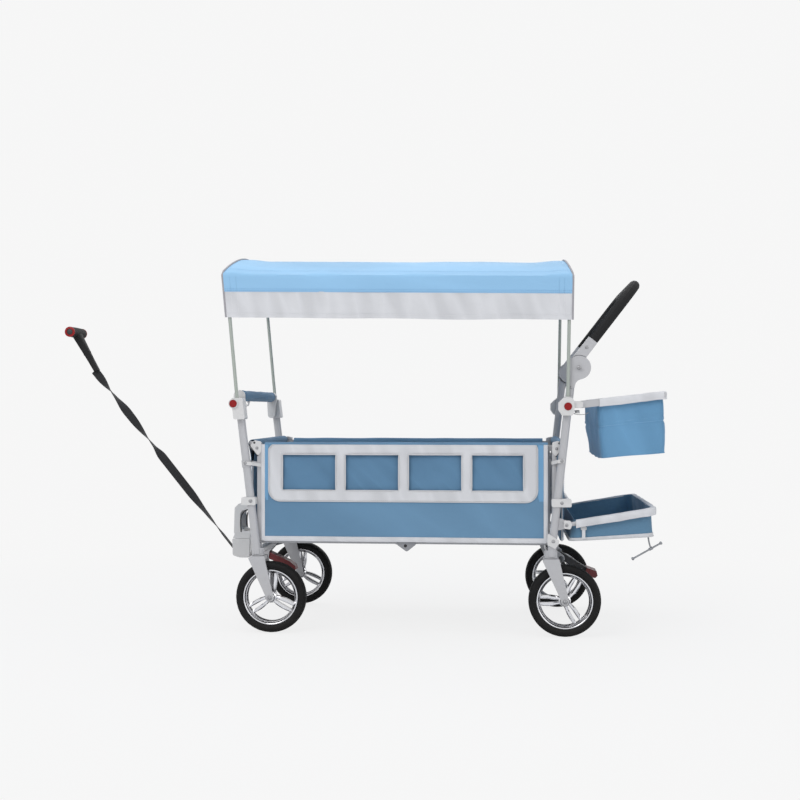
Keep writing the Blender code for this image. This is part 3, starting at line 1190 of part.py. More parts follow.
def build():
    clear_scene()
    make_materials()
    centre_z = LOWER_PIVOT_Z - HINGE_DROP
    rear = place_empty("rear_frame_axis", (0, 0, 0))
    floor_rear = place_empty("floor_rear_axis", (HALF_RAIL, 0, LOWER_PIVOT_Z), rear)
    floor_front = place_empty("floor_front_axis", (0, 0, centre_z), floor_rear)
    front = place_empty("front_frame_axis", (-HALF_RAIL, 0, LOWER_PIVOT_Z), floor_front)
    rail_rear = place_empty("rail_rear_axis", (HALF_RAIL, 0, UPPER_PIVOT_Z), rear)
    rail_front = place_empty("rail_front_axis", (0, 0, UPPER_PIVOT_Z - HINGE_DROP), rail_rear)

    for side in (-1, 1):
        front_upright(side, front)
        rear_upright(side, rear)
        side_panel(side, rear)
        front_socket(side, front)
        rear_socket(side, rear)
        name = side_name(side)
        caster = place_empty(f"caster_{name}_axis", (FRONT_STEM_X, side * WHEEL_Y, FORK_TOP_Z), front)
        fork("front", side, caster, FRONT_STEM_X)
        fork("rear", side, rear, REAR_STEM_X)
        for end, holder, stem_x in (("front", caster, FRONT_STEM_X), ("rear", rear, REAR_STEM_X)):
            hub_x = stem_x + FORK_TRAIL
            hub = place_empty(f"wheel_{end}_{name}_axis", (hub_x, side * WHEEL_Y, WHEEL_RADIUS), holder)
            wheel(end, side, hub, hub_x)
        rail("lower", LOWER_PIVOT_Z, "rear", 1, side, floor_rear)
        rail("lower", LOWER_PIVOT_Z, "front", -1, side, floor_front)
        rail("upper", UPPER_PIVOT_Z, "rear", 1, side, rail_rear)
        rail("upper", UPPER_PIVOT_Z, "front", -1, side, rail_front)

    low_bar("low_bar_front", FRONT_STEM_X, front, swivel_ears())
    low_bar("low_bar_rear", REAR_STEM_X, rear, *brake_ears())
    mid_bar("front", -1, front_post_x, FRONT_LEAN, front)
    mid_bar("rear", 1, rear_post_x, REAR_LEAN, rear)
    end_frame("front", -1, front_post_x, front)
    end_frame("rear", 1, rear_post_x, rear)
    end_wall("front", -1, front)
    end_wall("rear", 1, rear)
    floor_board("front", -1, floor_front)
    floor_board("rear", 1, floor_rear)

    hoop("front", front_pole_x, FRONT_POLE_LEAN,
         place_empty("canopy_front_axis", (FRONT_POLE_X, 0, SOCKET_TOP_Z), front))
    canopy_rear = place_empty("canopy_rear_axis", (REAR_POLE_X, 0, SOCKET_TOP_Z), rear)
    hoop("rear", rear_pole_x, REAR_POLE_LEAN, canopy_rear)
    canopy_cover(canopy_rear)

    handlebar(place_empty("handle_axis", (JOINT_X, 0, JOINT_Z), rear))
    grip_bar(place_empty("grip_bar_axis", (BAR_PIVOT_X, 0, BAR_PIVOT_Z), front))
    pouch(place_empty("pouch_axis", (POUCH_PIVOT_X, 0, POUCH_PIVOT_Z), rear))
    tray(place_empty("tray_axis", (TRAY_PIVOT_X, 0, TRAY_PIVOT_Z), rear))
    tow_housing(front)
    pull = place_empty("pull_axis", (STRAP_PIN_X, 0, STRAP_PIN_Z), front)
    pull_strap(pull)
    pull_handle(pull)
    brake_pedal(place_empty("brake_axis", (BRAKE_X, 0, BRAKE_Z), rear))
    swivel_pedal(place_empty("swivel_lock_axis", (SWIVEL_X, 0, SWIVEL_Z), front))


build()
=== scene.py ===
"""The looks of the folding stroller wagon: cloth, finishes, wheels, trim, camera and light."""

import math

import bmesh
import bpy
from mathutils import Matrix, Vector, noise


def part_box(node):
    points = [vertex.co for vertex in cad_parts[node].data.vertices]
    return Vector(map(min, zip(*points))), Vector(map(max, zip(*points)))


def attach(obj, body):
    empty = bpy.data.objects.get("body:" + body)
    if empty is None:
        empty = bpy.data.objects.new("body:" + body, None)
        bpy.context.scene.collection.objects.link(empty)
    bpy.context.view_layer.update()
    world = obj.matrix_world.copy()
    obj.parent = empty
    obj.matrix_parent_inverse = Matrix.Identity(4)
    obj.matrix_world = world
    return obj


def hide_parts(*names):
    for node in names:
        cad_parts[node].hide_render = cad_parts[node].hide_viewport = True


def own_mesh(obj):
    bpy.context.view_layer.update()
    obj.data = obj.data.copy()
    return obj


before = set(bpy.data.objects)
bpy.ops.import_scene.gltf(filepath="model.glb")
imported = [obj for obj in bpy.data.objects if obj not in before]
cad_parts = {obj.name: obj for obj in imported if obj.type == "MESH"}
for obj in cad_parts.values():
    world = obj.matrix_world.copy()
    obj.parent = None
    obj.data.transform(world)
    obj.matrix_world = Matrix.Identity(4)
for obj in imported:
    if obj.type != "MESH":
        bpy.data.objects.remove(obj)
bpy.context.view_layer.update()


def box_of(node):
    low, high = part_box(node)
    return Vector(low), Vector(high)


# The wagon's own middle, which every place below is measured from
PANEL_LOW, PANEL_HIGH = box_of("side_panel_near")
MIDDLE_X = (PANEL_LOW.x + PANEL_HIGH.x) / 2
SIDES = ((-1, "near"), (1, "far"))
ENDS = ((-1, "front"), (1, "rear"))


def at(x, y, z):
    return Vector((MIDDLE_X + x, y, z))


# Camera

EYE = (0.2776, -3.6297, 0.629)
TURN_LEFT = 4.950
TILT_UP = 0.426
FOCAL_PIXELS = 1210
PICTURE_WIDTH = 800
SENSOR = 36.0


def make_camera():
    lens = bpy.data.cameras.new("camera")
    lens.sensor_width = SENSOR
    lens.lens = FOCAL_PIXELS * SENSOR / PICTURE_WIDTH
    camera = bpy.data.objects.new("camera", lens)
    camera.location = at(*EYE)
    camera.rotation_euler = (math.radians(90 + TILT_UP), 0, math.radians(TURN_LEFT))
    bpy.context.scene.collection.objects.link(camera)
    bpy.context.scene.camera = camera


# Shader groups: each gives masks, values or a height that changes over the surface

def new_group(name, inputs, outputs):
    group = bpy.data.node_groups.new(name, "ShaderNodeTree")
    for label, kind, value in inputs:
        socket = group.interface.new_socket(label, in_out="INPUT", socket_type=kind)
        socket.default_value = value
    for label, kind in outputs:
        group.interface.new_socket(label, in_out="OUTPUT", socket_type=kind)
    nodes = group.nodes
    return group, nodes.new("NodeGroupInput"), nodes.new("NodeGroupOutput")


def joiner(tree):
    """Two short helpers for a node tree: make a node with values set, and link sockets."""
    def make(kind, **values):
        node = tree.nodes.new(kind)
        for key, value in values.items():
            if key.startswith("in_"):
                node.inputs[int(key[3:])].default_value = value
            else:
                setattr(node, key, value)
        return node

    def link(a, b):
        tree.links.new(a, b)
    return make, link


def weave_group():
    """Plain weave: threads along two directions that pass over and under each other."""
    group, given, out = new_group("weave", [
        ("Threads per metre", "NodeSocketFloat", 900.0),
        ("Warp", "NodeSocketVector", (1, 0, 0)),
        ("Weft", "NodeSocketVector", (0, 0, 1)),
    ], [("Height", "NodeSocketFloat"), ("Thread", "NodeSocketFloat")])
    make, link = joiner(group)
    place = make("ShaderNodeTexCoord")
    waves = []
    for label in ("Warp", "Weft"):
        dot = make("ShaderNodeVectorMath", operation="DOT_PRODUCT")
        link(place.outputs["Object"], dot.inputs[0])
        link(given.outputs[label], dot.inputs[1])
        count = make("ShaderNodeMath", operation="MULTIPLY")
        link(dot.outputs["Value"], count.inputs[0])
        link(given.outputs["Threads per metre"], count.inputs[1])
        turn = make("ShaderNodeMath", operation="MULTIPLY", in_1=math.pi)
        link(count.outputs[0], turn.inputs[0])
        wave = make("ShaderNodeMath", operation="SINE")
        link(turn.outputs[0], wave.inputs[0])
        waves.append(wave)
    over = make("ShaderNodeMath", operation="MULTIPLY")
    link(waves[0].outputs[0], over.inputs[0])
    link(waves[1].outputs[0], over.inputs[1])
    raised = make("ShaderNodeMath", operation="MULTIPLY_ADD", in_1=0.5, in_2=0.5)
    link(over.outputs[0], raised.inputs[0])
    link(raised.outputs[0], out.inputs["Height"])
    slub = make("ShaderNodeTexNoise", noise_dimensions="3D")
    slub.inputs["Scale"].default_value = 240
    link(place.outputs["Object"], slub.inputs["Vector"])
    link(slub.outputs["Fac"], out.inputs["Thread"])
    return group


def cloud_group():
    """Soft patches and fine grain, for shade that isn't even."""
    group, given, out = new_group("cloud", [
        ("Patch size", "NodeSocketFloat", 9.0),
        ("Grain size", "NodeSocketFloat", 700.0),
    ], [("Patches", "NodeSocketFloat"), ("Grain", "NodeSocketFloat")])
    make, link = joiner(group)
    place = make("ShaderNodeTexCoord")
    for label, target, detail in (("Patch size", "Patches", 4.0), ("Grain size", "Grain", 2.0)):
        cloud = make("ShaderNodeTexNoise")
        cloud.inputs["Detail"].default_value = detail
        link(place.outputs["Object"], cloud.inputs["Vector"])
        link(given.outputs[label], cloud.inputs["Scale"])
        link(cloud.outputs["Fac"], out.inputs[target])
    return group


def crease_group():
    """Long soft creases that run slantwise across a cloth: a ridge mask for bump and for a painted highlight
    along the ridges.
    """
    group, given, out = new_group("creases", [
        ("Spread", "NodeSocketFloat", 10.0),
        ("Slant", "NodeSocketFloat", 0.6),
    ], [("Ridges", "NodeSocketFloat")])
    make, link = joiner(group)
    place = make("ShaderNodeTexCoord")
    turned = make("ShaderNodeVectorRotate", rotation_type="Y_AXIS")
    link(place.outputs["Object"], turned.inputs["Vector"])
    link(given.outputs["Slant"], turned.inputs["Angle"])
    drawn = make("ShaderNodeVectorMath", operation="MULTIPLY", in_1=(1.0, 0.6, 0.24))
    link(turned.outputs["Vector"], drawn.inputs[0])
    cloud = make("ShaderNodeTexNoise")
    cloud.inputs["Detail"].default_value = 1.5
    link(drawn.outputs["Vector"], cloud.inputs["Vector"])
    link(given.outputs["Spread"], cloud.inputs["Scale"])
    middle = make("ShaderNodeMath", operation="SUBTRACT", in_1=0.5)
    link(cloud.outputs["Fac"], middle.inputs[0])
    away = make("ShaderNodeMath", operation="ABSOLUTE")
    link(middle.outputs["Value"], away.inputs[0])
    ridge = make("ShaderNodeMath", operation="MULTIPLY_ADD", in_1=-3.2, in_2=1.0)
    link(away.outputs["Value"], ridge.inputs[0])
    link(ridge.outputs["Value"], out.inputs["Ridges"])
    return group


def wear_group():
    """Fine scuffs: thin scratches kept to a few patches."""
    group, given, out = new_group("wear", [
        ("Scratches", "NodeSocketFloat", 60.0),
        ("Amount", "NodeSocketFloat", 0.4),
    ], [("Mask", "NodeSocketFloat")])
    make, link = joiner(group)
    place = make("ShaderNodeTexCoord")
    stretch = make("ShaderNodeMapping")
    stretch.inputs["Scale"].default_value = (1.0, 1.0, 7.0)
    link(place.outputs["Object"], stretch.inputs["Vector"])
    lines = make("ShaderNodeTexNoise")
    lines.inputs["Detail"].default_value = 6.0
    link(stretch.outputs[0], lines.inputs["Vector"])
    link(given.outputs["Scratches"], lines.inputs["Scale"])
    cut = make("ShaderNodeMapRange", in_1=0.63, in_2=0.72)
    link(lines.outputs["Fac"], cut.inputs[0])
    patch = make("ShaderNodeTexNoise")
    patch.inputs["Scale"].default_value = 11.0
    link(place.outputs["Object"], patch.inputs["Vector"])
    both = make("ShaderNodeMath", operation="MULTIPLY")
    link(cut.outputs[0], both.inputs[0])
    link(patch.outputs["Fac"], both.inputs[1])
    share = make("ShaderNodeMath", operation="MULTIPLY", use_clamp=True)
    link(both.outputs[0], share.inputs[0])
    link(given.outputs["Amount"], share.inputs[1])
    link(share.outputs[0], out.inputs["Mask"])
    return group


def dust_group():
    """Road dust that thins out with height above the ground."""
    group, given, out = new_group("dust", [
        ("Clean above", "NodeSocketFloat", 0.22),
        ("Amount", "NodeSocketFloat", 0.5),
    ], [("Mask", "NodeSocketFloat")])
    make, link = joiner(group)
    place = make("ShaderNodeTexCoord")
    split = make("ShaderNodeSeparateXYZ")
    link(place.outputs["Object"], split.inputs[0])
    fade = make("ShaderNodeMapRange", in_1=0.0, in_3=1.0, in_4=0.0)
    link(split.outputs["Z"], fade.inputs[0])
    link(given.outputs["Clean above"], fade.inputs[2])
    specks = make("ShaderNodeTexNoise")
    specks.inputs["Scale"].default_value = 38.0
    specks.inputs["Detail"].default_value = 8.0
    link(place.outputs["Object"], specks.inputs["Vector"])
    both = make("ShaderNodeMath", operation="MULTIPLY")
    link(fade.outputs[0], both.inputs[0])
    link(specks.outputs["Fac"], both.inputs[1])
    share = make("ShaderNodeMath", operation="MULTIPLY", use_clamp=True)
    link(both.outputs[0], share.inputs[0])
    link(given.outputs["Amount"], share.inputs[1])
    link(share.outputs[0], out.inputs["Mask"])
    return group


WEAVE = weave_group()
CLOUD = cloud_group()
CREASES = crease_group()
WEAR = wear_group()
DUST = dust_group()
FINISH = {}


class Finish:
    """One Principled material, its masks placed from the groups and mixed into its sockets."""

    def __init__(self, name, colour, roughness, metallic=0.0, **sockets):
        self.material = bpy.data.materials.new(name)
        self.material.use_nodes = True
        tree = self.material.node_tree
        self.make, self.link = joiner(tree)
        self.shader = tree.nodes["Principled BSDF"]
        self.shader.inputs["Base Color"].default_value = (*colour, 1)
        self.shader.inputs["Roughness"].default_value = roughness
        self.shader.inputs["Metallic"].default_value = metallic
        for label, value in sockets.items():
            self.shader.inputs[label.replace("_", " ")].default_value = value
        self.colour = None
        self.plain = (*colour, 1)
        self.height = None
        FINISH[name] = self.material

    def group(self, tree, **values):
        node = self.make("ShaderNodeGroup", node_tree=tree)
        for label, value in values.items():
            node.inputs[label.replace("_", " ")].default_value = value
        return node

    def tint(self, mask, colour, low=0.0, high=1.0):
        """Mixes a colour in where the mask is high; low and high limit how much."""
        share = self.make("ShaderNodeMapRange", in_3=low, in_4=high)
        self.link(mask, share.inputs[0])
        mix = self.make("ShaderNodeMix", data_type="RGBA")
        self.link(share.outputs[0], mix.inputs["Factor"])
        if self.colour is None:
            mix.inputs[6].default_value = self.plain
        else:
            self.link(self.colour, mix.inputs[6])
        mix.inputs[7].default_value = (*colour, 1)
        self.colour = mix.outputs[2]
        self.link(self.colour, self.shader.inputs["Base Color"])

    def rough(self, mask, low, high):
        share = self.make("ShaderNodeMapRange", in_3=low, in_4=high)
        self.link(mask, share.inputs[0])
        self.link(share.outputs[0], self.shader.inputs["Roughness"])

    def bump(self, mask, distance, strength=1.0):
        node = self.make("ShaderNodeBump")
        node.inputs["Distance"].default_value = distance
        node.inputs["Strength"].default_value = strength
        self.link(mask, node.inputs["Height"])
        if self.height is not None:
            self.link(self.height, node.inputs["Normal"])
        self.height = node.outputs["Normal"]
        self.link(self.height, self.shader.inputs["Normal"])


def cloth_finish(name, colour, deep, threads, warp, weft, roughness=0.85, thread_depth=0.00012, folds=0.006,
                 creases=0.0, spread=10.0, slant=0.6):
    finish = Finish(name, colour, roughness)
    finish.shader.inputs["Sheen Weight"].default_value = 0.12
    finish.shader.inputs["Sheen Roughness"].default_value = 0.5
    finish.shader.inputs["Specular IOR Level"].default_value = 0.25
    weave = finish.group(WEAVE, Threads_per_metre=threads, Warp=warp, Weft=weft)
    cloud = finish.group(CLOUD, Patch_size=9.0, Grain_size=420.0)
    finish.tint(cloud.outputs["Patches"], deep, 0.0, 0.55)
    finish.tint(weave.outputs["Height"], tuple(c * 1.08 for c in colour), 0.0, 0.35)
    finish.tint(weave.outputs["Thread"], deep, 0.0, 0.25)
    finish.rough(cloud.outputs["Grain"], roughness - 0.08, roughness + 0.08)
    finish.bump(cloud.outputs["Patches"], folds, 0.8)
    if creases:
        drawn = finish.group(CREASES, Spread=spread, Slant=slant)
        # Painted highlight: the crease ridges are tinted a quarter lighter, besides their bump.
        finish.tint(drawn.outputs["Ridges"], tuple(c * 1.25 for c in colour), -0.35, 0.5)
        finish.bump(drawn.outputs["Ridges"], creases, 0.9)
    finish.bump(weave.outputs["Height"], thread_depth, 0.7)


def hard_finish(name, colour, roughness, sizes, patches=None, wear=None, dust=None, rough=None, bump=None,
                metallic=0.0, **sockets):
    """Coat, moulding, metal or thread, made of the masks whose values are given."""
    finish = Finish(name, colour, roughness, metallic, **sockets)
    cloud = finish.group(CLOUD, Patch_size=sizes[0], Grain_size=sizes[1])
    if patches:
        tone, most = patches
        finish.tint(cloud.outputs["Patches"], tone, 0.0, most)
    if wear:
        tone, scratches, amount = wear
        scuffs = finish.group(WEAR, Scratches=scratches, Amount=amount)
        finish.tint(scuffs.outputs["Mask"], tone)
    if dust:
        tone, clean_above, amount = dust
        film = finish.group(DUST, Clean_above=clean_above, Amount=amount)
        finish.tint(film.outputs["Mask"], tone)
    if rough:
        finish.rough(cloud.outputs["Patches"], *rough)
    if bump:
        finish.bump(cloud.outputs["Grain"], *bump)


def thread_finish(name, colour, deep):
    hard_finish(name, colour, 0.7, (300.0, 2500.0), patches=(deep, 0.8))


def make_finishes():
    along, up, across = (1, 0, 0), (0, 0, 1), (0, 1, 0)
    cloth_finish("blue_side_cloth", (0.130, 0.250, 0.378), (0.100, 0.200, 0.312), 850, along, up,
                 creases=0.0030, spread=6.0, slant=1.05)
    cloth_finish("blue_end_cloth", (0.130, 0.250, 0.378), (0.098, 0.196, 0.308), 850, across, up)
    cloth_finish("roof_cloth", (0.262, 0.468, 0.675), (0.222, 0.415, 0.618), 850, along, across, 0.7,
                 creases=0.0022, spread=5.0, slant=1.35)
    cloth_finish("strip_cloth", (0.165, 0.345, 0.545), (0.130, 0.290, 0.475), 850, along, up, 0.7)
    cloth_finish("white_cloth", (0.585, 0.590, 0.606), (0.520, 0.526, 0.545), 900, along, up,
                 creases=0.0016, spread=16.0, slant=0.3)
    cloth_finish("pocket_cloth", (0.136, 0.300, 0.478), (0.100, 0.240, 0.395), 850, (1, 1, 0), up,
                 folds=0.010, creases=0.006, spread=9.0, slant=0.35)
    # Darker copy of the side cloth for the tray: painted shade, since the tray hangs in less light.
    cloth_finish("tray_cloth_painted_shade", (0.118, 0.232, 0.345), (0.090, 0.188, 0.288), 850, (1, 1, 0), up, folds=0.012)
    cloth_finish("window_net", (0.098, 0.205, 0.325), (0.074, 0.162, 0.268), 420, along, up, 0.7,
                 thread_depth=0.0003, folds=0.010, creases=0.009, spread=11.0, slant=0.75)
    cloth_finish("piping", (0.600, 0.602, 0.610), (0.520, 0.522, 0.530), 1400, (1, 1, 0), (0, 1, 1))
    cloth_finish("edge_cord", (0.360, 0.352, 0.372), (0.300, 0.292, 0.315), 1400, (1, 1, 0), (0, 1, 1))
    cloth_finish("webbing", (0.026, 0.026, 0.028), (0.014, 0.014, 0.015), 620, (1, 0, -1), across, 0.8,
                 thread_depth=0.0003)
    cloth_finish("floor_cloth", (0.060, 0.066, 0.078), (0.045, 0.050, 0.060), 700, along, across)

    hard_finish("white_coat", (0.470, 0.470, 0.482), 0.34, (22.0, 900.0),
                patches=((0.435, 0.436, 0.450), 0.5), wear=((0.30, 0.30, 0.32), 70.0, 0.45),
                dust=((0.42, 0.39, 0.35), 0.26, 0.35), rough=(0.28, 0.42), bump=(0.00006, 0.5),
                Coat_Weight=0.25, Coat_Roughness=0.2)
    hard_finish("white_moulding", (0.640, 0.635, 0.630), 0.45, (30.0, 1500.0),
                patches=((0.590, 0.585, 0.575), 0.5), wear=((0.42, 0.41, 0.40), 90.0, 0.3),
                rough=(0.38, 0.52), bump=(0.00008, 0.6))
    hard_finish("black_moulding", (0.022, 0.022, 0.024), 0.5, (30.0, 1500.0),
                wear=((0.09, 0.09, 0.09), 90.0, 0.35), rough=(0.42, 0.58), bump=(0.0001, 0.6))
    hard_finish("grip_foam", (0.0055, 0.0055, 0.0060), 0.5, (25.0, 1100.0),
                patches=((0.013, 0.013, 0.014), 0.7), rough=(0.62, 0.78), bump=(0.00002, 0.3),
                Specular_IOR_Level=0.3)
    hard_finish("tyre_rubber", (0.0030, 0.0030, 0.0034), 0.58, (40.0, 900.0),
                patches=((0.009, 0.009, 0.0095), 0.7), dust=((0.045, 0.041, 0.036), 0.24, 0.30),
                rough=(0.52, 0.72), bump=(0.0001, 0.6), Specular_IOR_Level=0.18)
    hard_finish("chrome_plate", (0.78, 0.78, 0.80), 0.09, (35.0, 600.0),
                wear=((0.55, 0.55, 0.56), 110.0, 0.5), dust=((0.45, 0.42, 0.38), 0.2, 0.2),
                rough=(0.05, 0.17), metallic=1.0)
    # Chrome darkened as a painted reflection: it stands for the dark surroundings mirrored in the bars' sides
    # and the rim's inner barrel. Its dust is real.
    hard_finish("chrome_painted_dark_reflection", (0.075, 0.075, 0.082), 0.16, (35.0, 600.0),
                patches=((0.160, 0.160, 0.170), 0.7), dust=((0.14, 0.13, 0.12), 0.2, 0.2),
                rough=(0.10, 0.26), metallic=1.0)
    hard_finish("bolt_steel", (0.42, 0.42, 0.43), 0.35, (120.0, 900.0),
                patches=((0.30, 0.30, 0.31), 0.8), rough=(0.25, 0.45), metallic=1.0)
    hard_finish("pole_coat", (0.400, 0.435, 0.395), 0.4, (18.0, 800.0),
                patches=((0.330, 0.365, 0.330), 0.7), wear=((0.22, 0.24, 0.22), 80.0, 0.5),
                rough=(0.32, 0.5), metallic=0.15)
    # Grey steel for the tray rod and the lock bracket. The hinge covers also take it as painted shade: their
    # white coat is drawn darker grey for the shadow under the tub.
    hard_finish("steel_coat_and_painted_shade", (0.30, 0.305, 0.32), 0.4, (60.0, 900.0),
                patches=((0.24, 0.245, 0.26), 0.8), wear=((0.16, 0.16, 0.17), 90.0, 0.5),
                rough=(0.3, 0.5), metallic=0.35)
    hard_finish("red_moulding", (0.285, 0.008, 0.009), 0.42, (40.0, 1200.0),
                patches=((0.220, 0.006, 0.007), 0.7), wear=((0.36, 0.05, 0.05), 100.0, 0.4),
                dust=((0.20, 0.08, 0.07), 0.3, 0.25), rough=(0.26, 0.42), bump=(0.00005, 0.5),
                Specular_IOR_Level=0.3)
    # Darker copy of the red moulding for the pedals: painted shade for the shadow they lie in. Its wear and
    # dust are real.
    hard_finish("pedal_red_painted_shade", (0.150, 0.010, 0.012), 0.4, (40.0, 1200.0),
                patches=((0.110, 0.008, 0.010), 0.7), wear=((0.28, 0.08, 0.07), 90.0, 0.5),
                dust=((0.14, 0.09, 0.08), 0.3, 0.35), rough=(0.32, 0.5))
    thread_finish("thread", (0.80, 0.80, 0.81), (0.62, 0.62, 0.64))
    thread_finish("pouch_thread", (0.34, 0.56, 0.76), (0.20, 0.38, 0.58))
    thread_finish("roof_thread", (0.205, 0.390, 0.590), (0.170, 0.340, 0.530))
    thread_finish("blue_thread", (0.10, 0.20, 0.33), (0.06, 0.13, 0.23))


# Mesh helpers

BOX_FACES = [(0, 1, 3, 2), (4, 6, 7, 5), (0, 4, 5, 1), (2, 3, 7, 6), (0, 2, 6, 4), (1, 5, 7, 3)]
CLOTH_SHARP = 50.0     # degrees between two faces of a cloth from which their edge stays sharp
PANEL_SHARP = 60.0     # the same for the side cloths with their windows
PLATE_SHARP = 30.0     # the same for thin plates


def add_mesh(name, points, faces, finish, body, sharp=40.0):
    mesh = bpy.data.meshes.new(name)
    mesh.from_pydata([tuple(p) for p in points], [], faces)
    shape = bmesh.new()
    shape.from_mesh(mesh)
    bmesh.ops.recalc_face_normals(shape, faces=shape.faces)
    shape.to_mesh(mesh)
    shape.free()
    mesh.materials.append(FINISH[finish])
    mesh.shade_smooth()
    mesh.set_sharp_from_angle(angle=math.radians(sharp))
    made = bpy.data.objects.new(name, mesh)
    bpy.context.scene.collection.objects.link(made)
    if body:
        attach(made, body)
    return made


def settle(piece):
    """Applies the piece's modifiers, so that the mesh is final."""
    bpy.context.view_layer.update()
    graph = bpy.context.evaluated_depsgraph_get()
    mesh = bpy.data.meshes.new_from_object(piece.evaluated_get(graph))
    piece.modifiers.clear()
    piece.data = mesh


def thicken(piece, thickness):
    solid = piece.modifiers.new("thickness", "SOLIDIFY")
    solid.thickness = thickness
    solid.offset = 0.0
    solid.use_even_offset = True
    settle(piece)


def smooth_over(piece, sharp):
    piece.data.shade_smooth()
    piece.data.set_sharp_from_angle(angle=math.radians(sharp))


def drop_loose(piece):
    """Deletes the points that no face uses."""
    shape = bmesh.new()
    shape.from_mesh(piece.data)
    bmesh.ops.delete(shape, geom=[v for v in shape.verts if not v.link_faces], context="VERTS")
    shape.to_mesh(piece.data)
    shape.free()


def sheet_grid(name, place, across, along, finish, body, thickness=0.0012, close=False):
    """A cloth skin: place(u, v) gives a point for u and v from 0 to 1."""
    rows = along if close else along + 1
    points = [place(i / across, j / along) for j in range(rows) for i in range(across + 1)]
    faces = []
    for j in range(along):
        for i in range(across):
            a = j * (across + 1) + i
            b = ((j + 1) % rows) * (across + 1) + i
            faces.append((a, a + 1, b + 1, b))
    piece = add_mesh(name, points, faces, finish, None, sharp=CLOTH_SHARP)
    thicken(piece, thickness)
    smooth_over(piece, CLOTH_SHARP)
    if body:
        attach(piece, body)
    return piece


def smooth_line(points, steps=6):
    """A Catmull-Rom curve through the points."""
    points = [Vector(p) for p in points]
    ends = [points[0] * 2 - points[1]] + points + [points[-1] * 2 - points[-2]]
    line = []
    for a, b, c, d in zip(ends, ends[1:], ends[2:], ends[3:]):
        for k in range(steps):
            t = k / steps
            line.append(0.5 * ((2 * b) + (c - a) * t + (2 * a - 5 * b + 4 * c - d) * t ** 2
                               + (3 * b - a - 3 * c + d) * t ** 3))
    line.append(points[-1])
    return line


def tube_parts(line, radius, sides=10, closed=False):
    """Points and faces of a round tube along a line."""
    line = [Vector(p) for p in line]
    count = len(line)
    points, faces = [], []
    up = None
    for i, middle in enumerate(line):
        if closed:
            ahead = line[(i + 1) % count] - line[i - 1]
        else:
            ahead = line[min(i + 1, count - 1)] - line[max(i - 1, 0)]
        ahead.normalize()
        if up is None:
            up = ahead.orthogonal().normalized()
        up = (up - ahead * up.dot(ahead)).normalized()
        side = ahead.cross(up)
        for k in range(sides):
            angle = math.tau * k / sides
            points.append(middle + (up * math.cos(angle) + side * math.sin(angle)) * radius)
    stretches = count if closed else count - 1
    for i in range(stretches):
        j = (i + 1) % count
        for k in range(sides):
            m = (k + 1) % sides
            faces.append((i * sides + k, i * sides + m, j * sides + m, j * sides + k))
    if not closed:
        faces.append(tuple(range(sides))[::-1])
        faces.append(tuple((count - 1) * sides + k for k in range(sides)))
    return points, faces


class Pile:
    """Collects several small shapes into one piece."""

    def __init__(self):
        self.points = []
        self.faces = []

    def add(self, points, faces):
        start = len(self.points)
        self.points += [Vector(p) for p in points]
        self.faces += [tuple(start + i for i in face) for face in faces]

    def tube(self, line, radius, sides=10, closed=False):
        self.add(*tube_parts(line, radius, sides, closed))

    def turned(self, centre, axis, profile, sides=24):
        """A (distance along the axis, radius) profile turned about the axis, closed at its ends."""
        axis = Vector(axis).normalized()
        up = axis.orthogonal().normalized()
        if abs(axis.y) > 0.9:
            up = Vector((1, 0, 0))
        side = axis.cross(up)
        points, faces = [], []
        for t, r in profile:
            for k in range(sides):
                angle = math.tau * k / sides
                points.append(Vector(centre) + axis * t + (up * math.cos(angle) + side * math.sin(angle)) * r)
        for i in range(len(profile) - 1):
            for k in range(sides):
                m = (k + 1) % sides
                faces.append((i * sides + k, i * sides + m, (i + 1) * sides + m, (i + 1) * sides + k))
        faces.append(tuple(range(sides))[::-1])
        faces.append(tuple((len(profile) - 1) * sides + k for k in range(sides)))
        self.add(points, faces)

    def block(self, low, high):
        x, y, z = zip(low, high)
        points = [(x[i], y[j], z[k]) for i in (0, 1) for j in (0, 1) for k in (0, 1)]
        self.add(points, BOX_FACES)

    def plate(self, outline, normal, thickness):
        """A flat outline of points pushed out along its normal."""
        push = Vector(normal).normalized() * thickness
        count = len(outline)
        points = [Vector(p) for p in outline] + [Vector(p) + push for p in outline]
        faces = [tuple(range(count))[::-1], tuple(range(count, 2 * count))]
        faces += [(i, (i + 1) % count, count + (i + 1) % count, count + i) for i in range(count)]
        self.add(points, faces)

    def stitches(self, line, normal, pitch=0.0055, length=0.0036, width=0.0008, lift=0.0004):
        """Short raised threads along a line."""
        line = [Vector(p) for p in line]
        normal = Vector(normal).normalized()
        spare = 0.0
        for a, b in zip(line, line[1:]):
            run = (b - a).length
            if run < 1e-9:
                continue
            ahead = (b - a) / run
            side = ahead.cross(normal)
            if side.length < 1e-6:
                side = ahead.orthogonal()
            side.normalize()
            out = side.cross(ahead).normalized()
            if out.dot(normal) < 0:
                out = -out
            where = spare
            while where + length < run + pitch * 0.5:
                p, q = a + ahead * where, a + ahead * (where + length)
                w = side * width / 2
                h = out * lift
                m = (p + q) / 2 + out * lift * 2.2
                points = [p - w, p + w, q + w, q - w, m - w * 0.6, m + w * 0.6]
                self.add([v + h * 0.2 for v in points],
                         [(0, 1, 5, 4), (2, 3, 4, 5), (1, 2, 5), (3, 0, 4), (0, 3, 2, 1)])
                where += pitch
            spare = where - run

    def finish(self, name, finish, body, sharp=40.0):
        return add_mesh(name, self.points, self.faces, finish, body, sharp=sharp)


def ripple(x, y, z, scale, size, seed=0.0):
    """A smooth, repeatable waviness."""
    return noise.noise(Vector((x * scale + seed, y * scale - seed, z * scale + seed * 0.5))) * size


